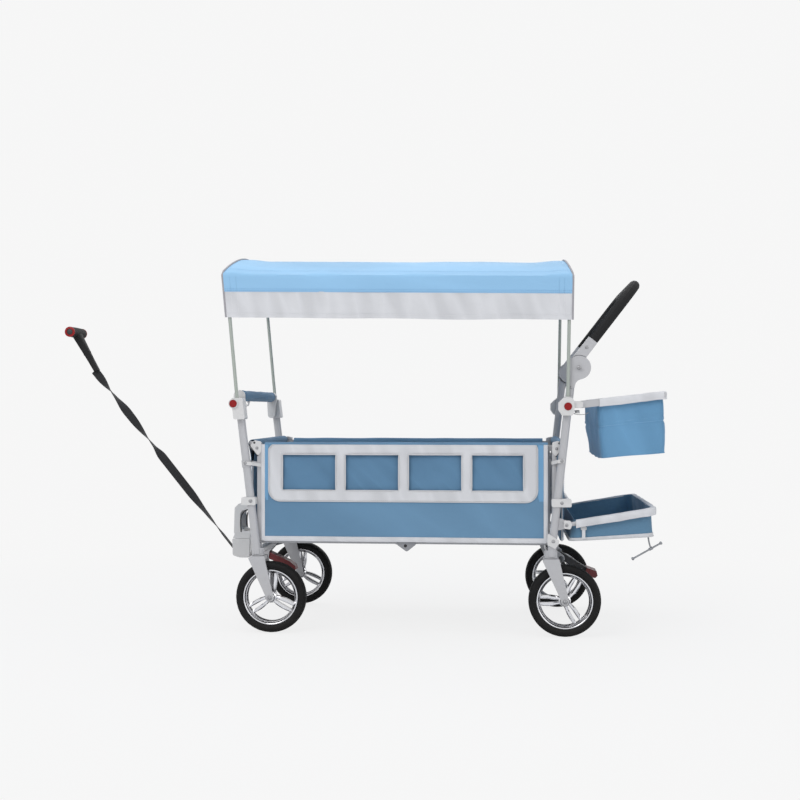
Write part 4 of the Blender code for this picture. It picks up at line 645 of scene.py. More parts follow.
def rounded_loop(corners, radius, steps):
    """A closed loop of 2-D corners with an arc at each."""
    corners = [Vector((*c, 0)) for c in corners]
    count = len(corners)
    loop = []
    for i, corner in enumerate(corners):
        back = (corners[i - 1] - corner).normalized()
        ahead = (corners[(i + 1) % count] - corner).normalized()
        half = back.angle(ahead) / 2
        centre = corner + (back + ahead).normalized() * radius / math.sin(half)
        reach = radius / math.tan(half)
        first, last = corner + back * reach - centre, corner + ahead * reach - centre
        turn = first.angle(last)
        for k in range(steps + 1):
            share = k / steps
            mixed = first * math.sin((1 - share) * turn) + last * math.sin(share * turn)
            loop.append(centre + mixed / math.sin(turn))
    return [(p.x, p.y) for p in loop]


EDGE_ANGLE = math.radians(35)    # a CAD edge from this angle on stays sharp, or is softened


def dress(finish, *nodes, bevel=0.0):
    """Gives CAD nodes their finish and, where asked, softened edges."""
    for name in nodes:
        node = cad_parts[name]
        node.data.materials.clear()
        node.data.materials.append(FINISH[finish])
        node.data.shade_smooth()
        node.data.set_sharp_from_angle(angle=EDGE_ANGLE)
        if bevel:
            soft = node.modifiers.new("soft_edge", "BEVEL")
            soft.width = bevel
            soft.segments = 2
            soft.limit_method = "ANGLE"
            soft.angle_limit = EDGE_ANGLE
            soft.use_clamp_overlap = True
            soft.harden_normals = True


def per_side(*names):
    return [f"{name}_{side}" for name in names for _, side in SIDES]


LEVER_SHAFT_X = 0.515    # the brake lever is black in front of this place, and red behind it


def dress_frame():
    """Finishes for the CAD nodes that are shown as they are."""
    dress("white_coat", *per_side("upright_front", "upright_rear", "fork_front", "fork_rear"), bevel=0.0006)
    dress("white_coat", *per_side("lower_rail_front", "lower_rail_rear", "upper_rail_front",
                                  "upper_rail_rear"), bevel=0.0006)
    dress("white_coat", "low_bar_front", "low_bar_rear", "end_frame_front", "end_frame_rear", bevel=0.0006)
    dress("white_coat", "pouch_frame", "tray_frame", bevel=0.0005)
    dress("white_moulding", "mid_bar_front", "mid_bar_rear", "tow_housing", bevel=0.0010)
    dress("white_moulding", *per_side("socket_front", "socket_rear"), bevel=0.0010)
    dress("white_moulding", "grip_bar", bevel=0.0010)
    dress("pole_coat", "hoop_front", "hoop_rear")
    dress("red_moulding", *per_side("button_front", "button_rear"), bevel=0.0004)
    # The pedals take the darker red finish: painted shade.
    dress("pedal_red_painted_shade", "brake_pedal", "swivel_lock_pedal", bevel=0.0008)
    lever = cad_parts["brake_pedal"]
    lever.data.materials.append(FINISH["black_moulding"])
    for face in lever.data.polygons:
        if (lever.matrix_world @ face.center).x < MIDDLE_X + LEVER_SHAFT_X:
            face.material_index = 1
    dress("floor_cloth", "floor_board_front", "floor_board_rear", bevel=0.0008)
    dress("white_coat", "handlebar", bevel=0.0006)
    dress("grip_foam", "handle_grip")


# Floor, world and lights

BACKDROP = (0.925, 0.925, 0.925, 1)
FLOOR_HALF = 12.0
FLOOR_Z = -0.0004
LAMPS = (("key", (-1.8, -3.2, 3.0), 2.2, 62),
         ("fill", (2.8, -2.4, 1.6), 2.6, 26),
         ("top", (0.0, 0.3, 3.6), 3.0, 46),
         ("back", (0.5, 3.4, 2.2), 2.6, 24))


def make_floor():
    """A pale floor that the camera sees fade into the backdrop away from the wagon."""
    mesh = bpy.data.meshes.new("floor")
    corners = [(-1, -1), (1, -1), (1, 1), (-1, 1)]
    mesh.from_pydata([(x * FLOOR_HALF, y * FLOOR_HALF, FLOOR_Z) for x, y in corners], [], [(0, 1, 2, 3)])
    floor = bpy.data.objects.new("floor", mesh)
    bpy.context.scene.collection.objects.link(floor)
    pale = bpy.data.materials.new("floor")
    pale.use_nodes = True
    make, link = joiner(pale.node_tree)
    shader = pale.node_tree.nodes["Principled BSDF"]
    shader.inputs["Base Color"].default_value = (0.86, 0.86, 0.86, 1)
    shader.inputs["Roughness"].default_value = 0.9
    shader.inputs["Specular IOR Level"].default_value = 0.1
    glow = make("ShaderNodeEmission")
    glow.inputs["Color"].default_value = BACKDROP
    rays = make("ShaderNodeLightPath")
    where = make("ShaderNodeTexCoord")
    far = make("ShaderNodeVectorMath", operation="LENGTH")
    link(where.outputs["Object"], far.inputs[0])
    fade = make("ShaderNodeMapRange", interpolation_type="SMOOTHSTEP",
                in_1=0.9, in_2=2.1, in_3=0.88, in_4=1.0)
    link(far.outputs["Value"], fade.inputs[0])
    share = make("ShaderNodeMath", operation="MULTIPLY")
    link(rays.outputs["Is Camera Ray"], share.inputs[0])
    link(fade.outputs[0], share.inputs[1])
    mix = make("ShaderNodeMixShader")
    link(share.outputs[0], mix.inputs[0])
    link(shader.outputs[0], mix.inputs[1])
    link(glow.outputs[0], mix.inputs[2])
    link(mix.outputs[0], pale.node_tree.nodes["Material Output"].inputs["Surface"])
    mesh.materials.append(pale)


def make_world():
    """Cool light all round, which the camera sees as the plain backdrop and polished metal sees in part."""
    world = bpy.data.worlds.new("studio")
    bpy.context.scene.world = world
    world.use_nodes = True
    make, link = joiner(world.node_tree)
    back = world.node_tree.nodes["Background"]
    back.inputs["Color"].default_value = (0.93, 0.95, 1.0, 1)
    back.inputs["Strength"].default_value = 0.55
    shown = make("ShaderNodeBackground")
    shown.inputs["Color"].default_value = BACKDROP
    shown.inputs["Strength"].default_value = 1.0
    rays = make("ShaderNodeLightPath")
    first = make("ShaderNodeMath", operation="MAXIMUM")
    link(rays.outputs["Is Camera Ray"], first.inputs[0])
    link(rays.outputs["Is Transmission Ray"], first.inputs[1])
    half = make("ShaderNodeMath", operation="MULTIPLY", in_1=0.75)
    link(rays.outputs["Is Glossy Ray"], half.inputs[0])
    every = make("ShaderNodeMath", operation="MAXIMUM")
    link(first.outputs[0], every.inputs[0])
    link(half.outputs[0], every.inputs[1])
    mix = make("ShaderNodeMixShader")
    link(every.outputs[0], mix.inputs[0])
    link(back.outputs[0], mix.inputs[1])
    link(shown.outputs[0], mix.inputs[2])
    link(mix.outputs[0], world.node_tree.nodes["World Output"].inputs["Surface"])


def make_lamps():
    """Square lamps, all turned to the middle of the wagon."""
    for name, place, size, power in LAMPS:
        lamp = bpy.data.lights.new(name, "AREA")
        lamp.shape = "SQUARE"
        lamp.size = size
        lamp.energy = power
        made = bpy.data.objects.new(name, lamp)
        made.location = at(*place)
        made.rotation_euler = (at(0, 0, 0.5) - made.location).to_track_quat("-Z", "Y").to_euler()
        bpy.context.scene.collection.objects.link(made)
    bpy.context.scene.view_settings.view_transform = "Standard"


# Pull strap

STRAP_PIN = (-0.536, 0.0, 0.196)
STRAP_END = (-0.9816, 0.0, 0.7497)
STRAP_WIDTH = 0.025
STRAP_THICKNESS = 0.0022
STRAP_EDGE = ((-1.0, 0.0), (-0.94, 0.8), (-0.5, 1.0), (0.5, 1.0), (0.94, 0.8), (1.0, 0.0),
              (0.94, -0.8), (0.5, -1.0), (-0.5, -1.0), (-0.94, -0.8))
# Shares of the strap's length with the turns that it has made by there
STRAP_MARKS = ((0.0, 0.0), (0.08, 0.0), (0.20, 0.10), (0.33, 0.25), (0.50, 0.27), (0.58, 0.50),
               (0.74, 0.75), (0.86, 1.0), (0.97, 1.25), (1.0, 1.25))


def strap_turn(share):
    """The angle to which the strap is twisted at a share of its length."""
    for (a, turn_a), (b, turn_b) in zip(STRAP_MARKS, STRAP_MARKS[1:]):
        if share <= b:
            local = (share - a) / (b - a)
            local = local * local * (3 - 2 * local) * 0.6 + local * 0.4
            return math.tau * (turn_a + (turn_b - turn_a) * local)
    return math.tau * STRAP_MARKS[-1][1]


def make_pull_strap():
    """The flat webbing from the tow housing to the pull handle, and its loop round the pin."""
    start, end = at(*STRAP_PIN), at(*STRAP_END)
    along = (end - start).normalized()
    face = along.cross(Vector((0, 1, 0)))
    begin = 0.0052
    length = (end - start).length - 0.0035
    rings = 150
    path = [start + along * (begin + (length - begin) * i / rings) for i in range(rings + 1)]
    points, faces = [], []
    for i, middle in enumerate(path):
        turn = strap_turn(i / rings)
        wide = Vector((0, 1, 0)) * math.cos(turn) + face * math.sin(turn)
        thick = along.cross(wide)
        for a, b in STRAP_EDGE:
            points.append(middle + wide * (a * STRAP_WIDTH / 2) + thick * (b * STRAP_THICKNESS / 2))
    sides = len(STRAP_EDGE)
    for i in range(rings):
        for k in range(sides):
            m = (k + 1) % sides
            faces.append((i * sides + k, i * sides + m, (i + 1) * sides + m, (i + 1) * sides + k))
    faces.append(tuple(range(sides)))
    faces.append(tuple(rings * sides + k for k in range(sides)))
    strap = add_mesh("pull_webbing", points, faces, "webbing", None)
    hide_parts("pull_strap")
    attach(strap, "pull")
    tuple(path[0])
    [tuple(p) for p in path]
    loop = Pile()
    half = STRAP_WIDTH / 2
    ring = [(-half, 0.0038), (-half, 0.0060), (half, 0.0060), (half, 0.0038), (-half, 0.0038)]
    loop.turned(start, (0, 1, 0), ring, 20)
    loop.finish("strap_loop", "webbing", "pull")


# Canopy: a roof cloth over two steel bows, with a white band below it on the near side

EAVE_FRONT_Z = 1.0065
EAVE_REAR_Z = 0.9935
CROWN_RISE = 0.0655
CANOPY_HALF = 0.2907
CROWN_IN = 0.016
END_OVERHANG = 0.0080
SEAM_DROP = 0.0480
HEM_DROP = 0.1200
HEM_WIDTH = 0.0125
FAR_EDGE_Z = 0.9320
BOW_FOOT_Z = 0.66            # the bows' feet, from which they lean
FRONT_BOW_X = -0.4715
FRONT_BOW_LEAN = 0.093
REAR_BOW_X = 0.450
REAR_BOW_LEAN = 0.018
BAND_OUT = 0.2906            # the white band's plane, from the wagon's middle
SIDE_THREAD_OUT = 0.2926     # and the plane of the roof's side thread
CANOPY_STEPS = 72            # mesh steps from front to rear


def eave_z(u):
    """The canopy's eave falls a little from front to rear."""
    return EAVE_FRONT_Z + (EAVE_REAR_Z - EAVE_FRONT_Z) * u


def roof_point(u, y, rise):
    """A point of the canopy: u runs from front to rear, rise is the height over the eave."""
    over = max(0.0, rise / CROWN_RISE)
    z = eave_z(u) + rise
    below = min(rise, 0.0)
    inward = CROWN_IN * over - END_OVERHANG
    front = FRONT_BOW_X - FRONT_BOW_LEAN * (EAVE_FRONT_Z + below - BOW_FOOT_Z) + inward
    rear = REAR_BOW_X + REAR_BOW_LEAN * (EAVE_REAR_Z + below - BOW_FOOT_Z) - inward
    return at(front + (rear - front) * u, y, z)


def arch_at(share, lift=0.0053):
    """(y, height over the eave) at a share from -1 at the near eave to 1 at the far one."""
    rise = CROWN_RISE + 0.001
    radius = (CANOPY_HALF ** 2 + rise ** 2) / (2 * rise)
    angle = math.asin(CANOPY_HALF / radius) * share
    return radius * math.sin(angle), rise - radius + radius * math.cos(angle) + lift


def roof_sag(u):
    """How far the roof cloth sinks between the bows."""
    share = max(0.0, min(1.0, (u - 0.02) / 0.07, (0.98 - u) / 0.07))
    return 0.0052 * share * share * (3 - 2 * share)


def roof_section(u):
    """The roof cloth's outline across the wagon, from the near seam to the far edge."""
    far = FAR_EDGE_Z - eave_z(u)
    near = [(-0.2914, -SEAM_DROP), (-0.2918, -0.036), (-0.2919, -0.024), (-0.2918, -0.012),
            (-0.2914, -0.003), (-0.2904, 0.0028)]
    top = [arch_at(-0.965 + 1.93 * i / 30) for i in range(31)]
    side = [(0.2904, 0.0028), (0.2914, -0.003), (0.2918, -0.014), (0.2918, -0.032), (0.2914, -0.050),
            (0.2912, far)]
    return near + top + side


def roof_side_wave(point):
    """How far the roof cloth's hanging side stands out of its plane."""
    return ripple(point.x, 0, point.z, 8, 0.0022, 3.0) + ripple(point.x, 0, point.z, 21, 0.0007)


def canopy_piece(piece):
    """A piece of the canopy, carried by the rear canopy body with a mesh of its own."""
    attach(piece, "canopy_rear")
    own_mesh(piece)


def make_canopy():
    """The roof cloth, its valance and gables, and their piping and thread."""
    count = len(roof_section(0)) - 1

    def roof(u, v):
        y, rise = roof_section(u)[round(v * count)]
        flat_part = min(1.0, 4.0 * u, 4.0 * (1 - u))
        point = roof_point(u, y, rise)
        if rise > 0.004:
            point.z -= roof_sag(u) + 0.0006
            point.z += (ripple(point.x, y, 0, 9, 0.0026) + ripple(point.x, y, 2, 24, 0.0010)) * flat_part
        else:
            point.z -= roof_sag(u) * max(0.0, min(1.0, (rise + 0.014) / 0.017)) * 0.6
            point.y += roof_side_wave(point) * flat_part * (1 if y > 0 else -1)
        return point

    cover = sheet_grid("roof_cloth", roof, CANOPY_STEPS, count, "roof_cloth", None, 0.0014)
    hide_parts("canopy_cover")

    def band(drop_from, drop_to, out):
        def place(u, v):
            rise = -drop_from + (drop_from - drop_to) * v
            point = roof_point(u, -BAND_OUT - out, rise)
            loose = v * min(1.0, 5.0 * u, 5.0 * (1 - u))
            if drop_from > HEM_DROP - 0.02:
                loose = min(1.0, 5.0 * u, 5.0 * (1 - u))
            wave = ripple(point.x, 0, 0.3, 5, 0.0042, 7.0) + ripple(point.x, 0, point.z, 14, 0.0014)
            point.y -= (0.0004 + wave) * loose
            point.z += ripple(point.x, 0.5, 0, 6, 0.0030, 1.0) * loose
            return point
        return place

    valance = sheet_grid("valance", band(SEAM_DROP - 0.004, HEM_DROP, 0.0), CANOPY_STEPS, 8,
                         "white_cloth", None)
    hem = sheet_grid("valance_hem", band(HEM_DROP - HEM_WIDTH, HEM_DROP + 0.0004, 0.0011), CANOPY_STEPS, 2,
                     "white_cloth", None, 0.0010)

    def gable(end):
        def place(u, v):
            y = -0.2880 + 0.5760 * u
            high = arch_at(y / CANOPY_HALF, lift=0.0041)[1]
            low = FAR_EDGE_Z - eave_z(end)
            point = roof_point(end, y, low + (high - low) * v)
            point.x += (1 - 2 * end) * (0.0010 + 0.0030 * math.sin(math.pi * v) * math.sin(math.pi * u))
            return point
        return place

    front_gable = sheet_grid("front_gable", gable(0), 28, 8, "blue_end_cloth", None)
    rear_gable = sheet_grid("rear_gable", gable(1), 28, 8, "blue_end_cloth", None)
    cords = Pile()
    for end in (0, 1):
        out = -1 if end == 0 else 1
        line = [roof_point(end, -0.2916, -HEM_DROP + 0.119 * i / 14) for i in range(15)]
        line += [roof_point(end, *arch_at(-0.97 + 1.94 * i / 40)) for i in range(41)]
        line += [roof_point(end, 0.2914, (FAR_EDGE_Z - eave_z(end)) * i / 6) for i in range(1, 7)]
        raised = []
        for point in line:
            point.x += out * 0.0012
            point.z += 0.0016 if point.z > eave_z(end) else 0
            raised.append(point)
        cords.tube(raised, 0.0027, 8)
    edge_cord = cords.finish("canopy_piping", "edge_cord", None)
    seams, light_seams = Pile(), Pile()
    out = Vector((0, -1, 0))
    for drop, pile in ((SEAM_DROP - 0.003, seams), (SEAM_DROP - 0.008, seams),
                       (HEM_DROP - HEM_WIDTH + 0.0015, light_seams)):
        line = []
        for i in range(CANOPY_STEPS + 1):
            u = 0.004 + 0.992 * i / CANOPY_STEPS
            if pile is seams:
                point = roof_point(u, -SIDE_THREAD_OUT, -drop)
                flat_part = min(1.0, 4.0 * u, 4.0 * (1 - u))
                point.y -= roof_side_wave(point) * flat_part
            else:
                point = band(HEM_DROP - HEM_WIDTH, HEM_DROP, 0.0017)(u, 0.12)
            line.append(point)
        pile.stitches(line, out)
    for u in (0.020, 0.038, 0.962, 0.977):
        line = [roof_point(u, -SIDE_THREAD_OUT, -0.006 - 0.040 * i / 8) for i in range(9)]
        seams.stitches(line, out)
        line = [band(SEAM_DROP, HEM_DROP, 0.0006)(u, i / 8) for i in range(9)]
        light_seams.stitches(line, out)
    for share in (-0.90, 0.90):
        y, rise = arch_at(share)
        line = []
        for i in range(61):
            u = 0.01 + 0.98 * i / 60
            line.append(roof_point(u, y, rise + 0.0012 - roof_sag(u)))
        seams.stitches(line, Vector((0, 0, 1)))
    roof_thread = seams.finish("roof_stitches", "roof_thread", None)
    band_thread = light_seams.finish("valance_stitches", "thread", None)
    canopy_piece(cover)
    canopy_piece(valance)
    canopy_piece(hem)
    canopy_piece(rear_gable)
    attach(front_gable, "canopy_front")
    for trim in (edge_cord, roof_thread, band_thread):
        canopy_piece(trim)


# Tub: side cloths with their windows, sleeves on the upper rails, and end cloths

SIDE_OUT = 0.2530
SIDE_FRONT_X = -0.3990
SIDE_REAR_X = 0.3965
TUB_TOP_Z = 0.5325
TUB_LOW_Z = 0.2575
HEM_TOP_Z = 0.2710
FRAME_FRONT_X = -0.3875
FRAME_REAR_X = 0.3687
FRAME_TOP_Z = 0.5290
FRAME_LOW_Z = 0.3690
FRAME_CORNER = 0.034
WINDOWS = ((-0.3472, -0.1961), (-0.1686, -0.0187), (0.0094, 0.1577), (0.1861, 0.3292))
WINDOW_LOW_Z = 0.4005
WINDOW_TOP_Z = 0.5010
STRIP_LOW_Z = 0.372          # foot of the side strips and of the liner behind the windows
STRIP_LEAST = 0.0105         # the least width listed with each strip
LINER_TOP_Z = 0.508
CLOTH_STEP = 0.0105          # longest step of the side cloth's mesh
FRAME_LIFT = 0.0016          # how far the white frame stands out of the blue cloth
BINDING_LIFT = 0.0026
WINDOW_BINDING_LIFT = 0.0022
THREAD_LIFT = 0.0023
THREAD_INSET = 0.0045        # from the white frame's edge to its thread
WINDOW_THREAD_INSET = 0.0050
RAIL_RUN = (0.050, 0.336)    # where the sleeves ride on the folding rails, from the middle hinge


def side_swell(x, z, seed):
    """How far the side cloth stands out of its plane."""
    low = max(0.0, min(1.0, (STRIP_LOW_Z - z) / 0.06)) * max(0.0, min(1.0, (z - 0.262) / 0.03))
    return (0.0006 + ripple(x, seed, z, 5, 0.0020) + ripple(x, seed, z, 13, 0.0008)
            + ripple(x + z, seed, z * 0.4, 17, 0.0012) * low)


def in_window(x, z):
    return any(low < x < high for low, high in WINDOWS) and WINDOW_LOW_Z < z < WINDOW_TOP_Z


def steps_between(marks, step):
    """Marks joined by even steps no longer than asked."""
    line = []
    for a, b in zip(marks, marks[1:]):
        count = max(1, math.ceil((b - a) / step))
        line += [a + (b - a) * i / count for i in range(count)]
    return line + [marks[-1]]


def panel_grid(name, xs, zs, place, finish, thickness):
    """A cloth skin over the places xs by zs, open at the windows."""
    points = [place(x, z) for z in zs for x in xs]
    faces = []
    for j in range(len(zs) - 1):
        for i in range(len(xs) - 1):
            if not in_window((xs[i] + xs[i + 1]) / 2, (zs[j] + zs[j + 1]) / 2):
                a = j * len(xs) + i
                faces.append((a, a + 1, a + 1 + len(xs), a + len(xs)))
    piece = add_mesh(name, points, faces, finish, None, sharp=PANEL_SHARP)
    drop_loose(piece)
    thicken(piece, thickness)
    smooth_over(piece, PANEL_SHARP)
    return piece


def tub_piece(piece):
    """A piece of the tub, carried by the rear frame body with a mesh of its own."""
    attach(piece, "rear_frame")
    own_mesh(piece)


def frame_edges(z):
    """The white frame's front and rear edge at a height, with its round lower corners."""
    inset = 0.0
    if z < FRAME_LOW_Z + FRAME_CORNER:
        rest = FRAME_CORNER - (z - FRAME_LOW_Z)
        inset = FRAME_CORNER - math.sqrt(max(0.0, FRAME_CORNER ** 2 - rest ** 2))
    cut = max(0.0, z - (FRAME_TOP_Z - 0.012)) * 0.9
    return FRAME_FRONT_X + inset + cut, FRAME_REAR_X - inset - cut * 0.4


def make_side_cloth(side, word):
    """One side of the tub: the cloth with its windows and white frame, the trim and the rail sleeves."""
    seed = 2.0 + side

    def out_at(x, z, more=0.0):
        return at(x, side * (SIDE_OUT + side_swell(x, z, seed) + more), z)

    inner = [x for window in WINDOWS for x in window]
    xs = steps_between([SIDE_FRONT_X] + inner + [SIDE_REAR_X], CLOTH_STEP)
    zs = steps_between([TUB_LOW_Z, HEM_TOP_Z, WINDOW_LOW_Z, WINDOW_TOP_Z, TUB_TOP_Z - 0.003], CLOTH_STEP)
    base = panel_grid(f"side_cloth_{word}", xs, zs, out_at, "blue_side_cloth", 0.0012)
    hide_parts(f"side_panel_{word}")

    # White window frame, sewn on top of the blue cloth
    rows = steps_between([FRAME_LOW_Z, FRAME_LOW_Z + 0.010, WINDOW_LOW_Z, WINDOW_TOP_Z, FRAME_TOP_Z],
                         0.0095)
    columns = steps_between(inner, 0.0125)
    margin = 4
    points, faces = [], []
    for z in rows:
        front, rear = frame_edges(z)
        line = [front + (inner[0] - front) * i / margin for i in range(margin)] + columns
        line += [inner[-1] + (rear - inner[-1]) * i / margin for i in range(1, margin + 1)]
        points += [(x, z) for x in line]
    width = len(columns) + 2 * margin
    for j in range(len(rows) - 1):
        for i in range(width - 1):
            a = j * width + i
            mid_x = (points[a][0] + points[a + 1][0]) / 2
            mid_z = (rows[j] + rows[j + 1]) / 2
            if not in_window(mid_x, mid_z):
                faces.append((a, a + 1, a + 1 + width, a + width))
    placed = [out_at(x, z, FRAME_LIFT) for x, z in points]
    white = add_mesh(f"window_frame_{word}", placed, faces, "white_cloth", None, sharp=PANEL_SHARP)
    drop_loose(white)
    thicken(white, 0.0012)

    # Bindings round the white frame and the windows
    bindings = Pile()
    outline = []
    for i in range(13):
        z = FRAME_TOP_Z - 0.001 - (FRAME_TOP_Z - FRAME_LOW_Z - FRAME_CORNER) * i / 12
        outline.append((frame_edges(z)[0], z))
    for i in range(1, 9):
        angle = math.pi / 2 * i / 8
        outline.append((FRAME_FRONT_X + FRAME_CORNER * (1 - math.cos(angle)),
                        FRAME_LOW_Z + FRAME_CORNER * (1 - math.sin(angle))))
    low_run = steps_between([outline[-1][0], FRAME_REAR_X - FRAME_CORNER], 0.02)
    outline += [(x, FRAME_LOW_Z) for x in low_run[1:]]
    for i in range(1, 9):
        angle = math.pi / 2 * (1 - i / 8)
        outline.append((FRAME_REAR_X - FRAME_CORNER * (1 - math.cos(angle)),
                        FRAME_LOW_Z + FRAME_CORNER * (1 - math.sin(angle))))
    for i in range(1, 13):
        z = FRAME_LOW_Z + FRAME_CORNER + (FRAME_TOP_Z - 0.001 - FRAME_LOW_Z - FRAME_CORNER) * i / 12
        outline.append((frame_edges(z)[1], z))
    bindings.tube([out_at(x, z, BINDING_LIFT) for x, z in outline], 0.0013, 6)
    for low, high in WINDOWS:
        loop = [(x, WINDOW_LOW_Z) for x in steps_between([low, high], 0.02)]
        loop += [(high, z) for z in steps_between([WINDOW_LOW_Z, WINDOW_TOP_Z], 0.02)[1:]]
        loop += [(x, WINDOW_TOP_Z) for x in steps_between([low, high], 0.02)[::-1][1:]]
        loop += [(low, z) for z in steps_between([WINDOW_LOW_Z, WINDOW_TOP_Z], 0.02)[::-1][1:-1]]
        bindings.tube([out_at(x, z, WINDOW_BINDING_LIFT) for x, z in loop], 0.0016, 6, closed=True)
    rim = bindings.finish(f"window_bindings_{word}", "piping", None)

    # Edgings down both ends, the hem and the strips beside the white frame
    def end_edging(front, rear):
        def place(u, v):
            x = front + (rear - front) * u
            z = TUB_LOW_Z + 0.0005 + (TUB_TOP_Z - 0.0035 - TUB_LOW_Z) * v
            return out_at(x, z, 0.0012 + 0.0016 * math.sin(math.pi * u))
        return place

    def hem_place(u, v):
        x = SIDE_FRONT_X + (SIDE_REAR_X - SIDE_FRONT_X) * u
        z = TUB_LOW_Z - 0.0006 + (HEM_TOP_Z - TUB_LOW_Z) * v
        return out_at(x, z, 0.0016 + 0.0010 * math.sin(math.pi * v))

    edging = []
    for name, front, rear in (("front", SIDE_FRONT_X - 0.0090, SIDE_FRONT_X + 0.0008),
                              ("rear", SIDE_REAR_X - 0.0115, SIDE_REAR_X - 0.0005)):
        edging.append(sheet_grid(f"side_edging_{name}_{word}", end_edging(front, rear), 5, 26,
                                 "white_cloth", None, 0.0016))
    hem = sheet_grid(f"side_hem_{word}", hem_place, 76, 4, "white_cloth", None, 0.0014)
    strips = []
    for name, front, rear in (("front", SIDE_FRONT_X + 0.0012, FRAME_FRONT_X - 0.0012),
                              ("rear", FRAME_REAR_X + 0.0010, SIDE_REAR_X - 0.0120)):
        def place(u, v, front=front, rear=rear):
            z = STRIP_LOW_Z + (TUB_TOP_Z - 0.004 - STRIP_LOW_Z) * v
            left = front + (0.003 if v == 0 else 0)
            return out_at(left + (rear - left) * u, z, 0.0012)
        strip = sheet_grid(f"side_strip_{name}_{word}", place, 3, 16, "strip_cloth", None, 0.0008)
        strips.append((strip, max(STRIP_LEAST, rear - front)))

    # The liner hangs behind the windows, away from the frame at its top
    def liner(u, v):
        x = SIDE_FRONT_X + 0.004 + (SIDE_REAR_X - SIDE_FRONT_X - 0.008) * u
        z = STRIP_LOW_Z + (LINER_TOP_Z - STRIP_LOW_Z) * v
        back = 0.0026 + 0.0030 * v ** 2
        puff = 0.0032 * ripple(x + z * 0.7, seed, z, 12, 1.0) + 0.0016 * ripple(x - z, seed, z, 26, 1.0)
        return at(x, side * (SIDE_OUT - back - 0.0012 + max(-0.0018, min(0.0012, puff))), z)

    behind = sheet_grid(f"window_liner_{word}", liner, 80, 16, "window_net", None, 0.0010)

    # Sleeves over the upper rails
    section = [(0.2532, TUB_TOP_Z - 0.0045), (0.2522, TUB_TOP_Z), (0.2480, TUB_TOP_Z + 0.0022),
               (0.2380, TUB_TOP_Z + 0.0030), (0.2280, TUB_TOP_Z + 0.0024), (0.2215, TUB_TOP_Z - 0.0006),
               (0.2186, TUB_TOP_Z - 0.008), (0.2182, 0.5150), (0.2182, 0.5060), (0.2182, 0.4970)]

    def sleeve_run(name, start, end):
        def over(u, v):
            y, z = section[round(v * (len(section) - 1))]
            x = start + (end - start) * u
            soft = 0.0 if y > 0.22 else 1.0
            loose = ripple(x, 3 + seed, z, 9, 0.0012) + ripple(x, seed, z, 23, 0.0007)
            drop = ripple(x, seed, 0.1, 15, 0.0010) if 0.225 < y < 0.25 else 0.0
            return at(x, side * (y - soft * abs(loose)), z + drop)

        steps = max(5, round((end - start) / CLOTH_STEP))
        return sheet_grid(name, over, steps, len(section) - 1, "blue_side_cloth", None)

    # The long runs rise with the rails, and the short ones stay with the tub
    gap = 0.0004
    for end, turn in (("front", -1), ("rear", 1)):
        low, high = sorted((turn * RAIL_RUN[0], turn * RAIL_RUN[1]))
        long_run = sleeve_run(f"rail_sleeve_{end}_{word}", low + gap, high - gap)
        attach(long_run, f"rails_{end}")
    covers = []
    for spot, low, high in (("front", SIDE_FRONT_X, -RAIL_RUN[1]),
                            ("middle", -RAIL_RUN[0], RAIL_RUN[0]),
                            ("rear", RAIL_RUN[1], SIDE_REAR_X)):
        covers.append((sleeve_run(f"rail_cover_{spot}_{word}", low, high), high - low))

    # Thread lines of the frame, the hem and the edgings
    threads = Pile()
    out = Vector((0, side, 0))
    centre_x = (SIDE_FRONT_X + SIDE_REAR_X) / 2
    inset_line = []
    for x, z in outline:
        step_x = THREAD_INSET if x < centre_x else -THREAD_INSET
        near_low = max(0.0, min(1.0, (FRAME_LOW_Z + FRAME_CORNER - z) / FRAME_CORNER))
        flat_run = FRAME_FRONT_X + FRAME_CORNER < x < FRAME_REAR_X - FRAME_CORNER
        inset_line.append((x + (0 if flat_run else step_x), z + THREAD_INSET * near_low))
    threads.stitches([out_at(x, z, THREAD_LIFT) for x, z in inset_line], out)
    for low, high in WINDOWS:
        a, b = low - WINDOW_THREAD_INSET, high + WINDOW_THREAD_INSET
        c, d = WINDOW_LOW_Z - WINDOW_THREAD_INSET, WINDOW_TOP_Z + WINDOW_THREAD_INSET
        for start, end in (((a, c), (b, c)), ((b, c), (b, d)), ((b, d), (a, d)), ((a, d), (a, c))):
            line = []
            for i in range(13):
                x, z = (start[k] + (end[k] - start[k]) * i / 12 for k in (0, 1))
                line.append(out_at(x, z, THREAD_LIFT))
            threads.stitches(line, out)
    run = steps_between([SIDE_FRONT_X + 0.004, SIDE_REAR_X - 0.012], 0.012)
    threads.stitches([out_at(x, HEM_TOP_Z - 0.002, 0.0030) for x in run], out)
    for x in (SIDE_FRONT_X - 0.0010, SIDE_REAR_X - 0.0102):
        rise = steps_between([TUB_LOW_Z + 0.004, TUB_TOP_Z - 0.006], 0.012)
        threads.stitches([out_at(x, z, 0.0028) for z in rise], out)
    seam = threads.finish(f"side_stitches_{word}", "thread", None)

    tub_piece(base)
    tub_piece(white)
    for piece in edging:
        tub_piece(piece)
    tub_piece(hem)
    for piece, wide in strips:
        tub_piece(piece)
    tub_piece(behind)
    for piece, run in covers:
        tub_piece(piece)
    for piece in (rim, seam):
        tub_piece(piece)


END_BAR_X = 0.4355
END_BAR_Z = 0.5300
END_CLOTH_HALF = 0.2415
END_BAR_WRAP = 0.0122        # the cloth's radius where it goes over the rim bar
# One layer of an end cloth, from its lower edge up: (distance from the rim bar's plane, height)
END_LAYER = ((0.0, 0.2634), (0.0042, 0.2640), (0.0042, 0.3000), (0.0044, 0.3600), (0.0046, 0.4200),
             (0.0050, 0.4700), (0.0070, 0.5050))


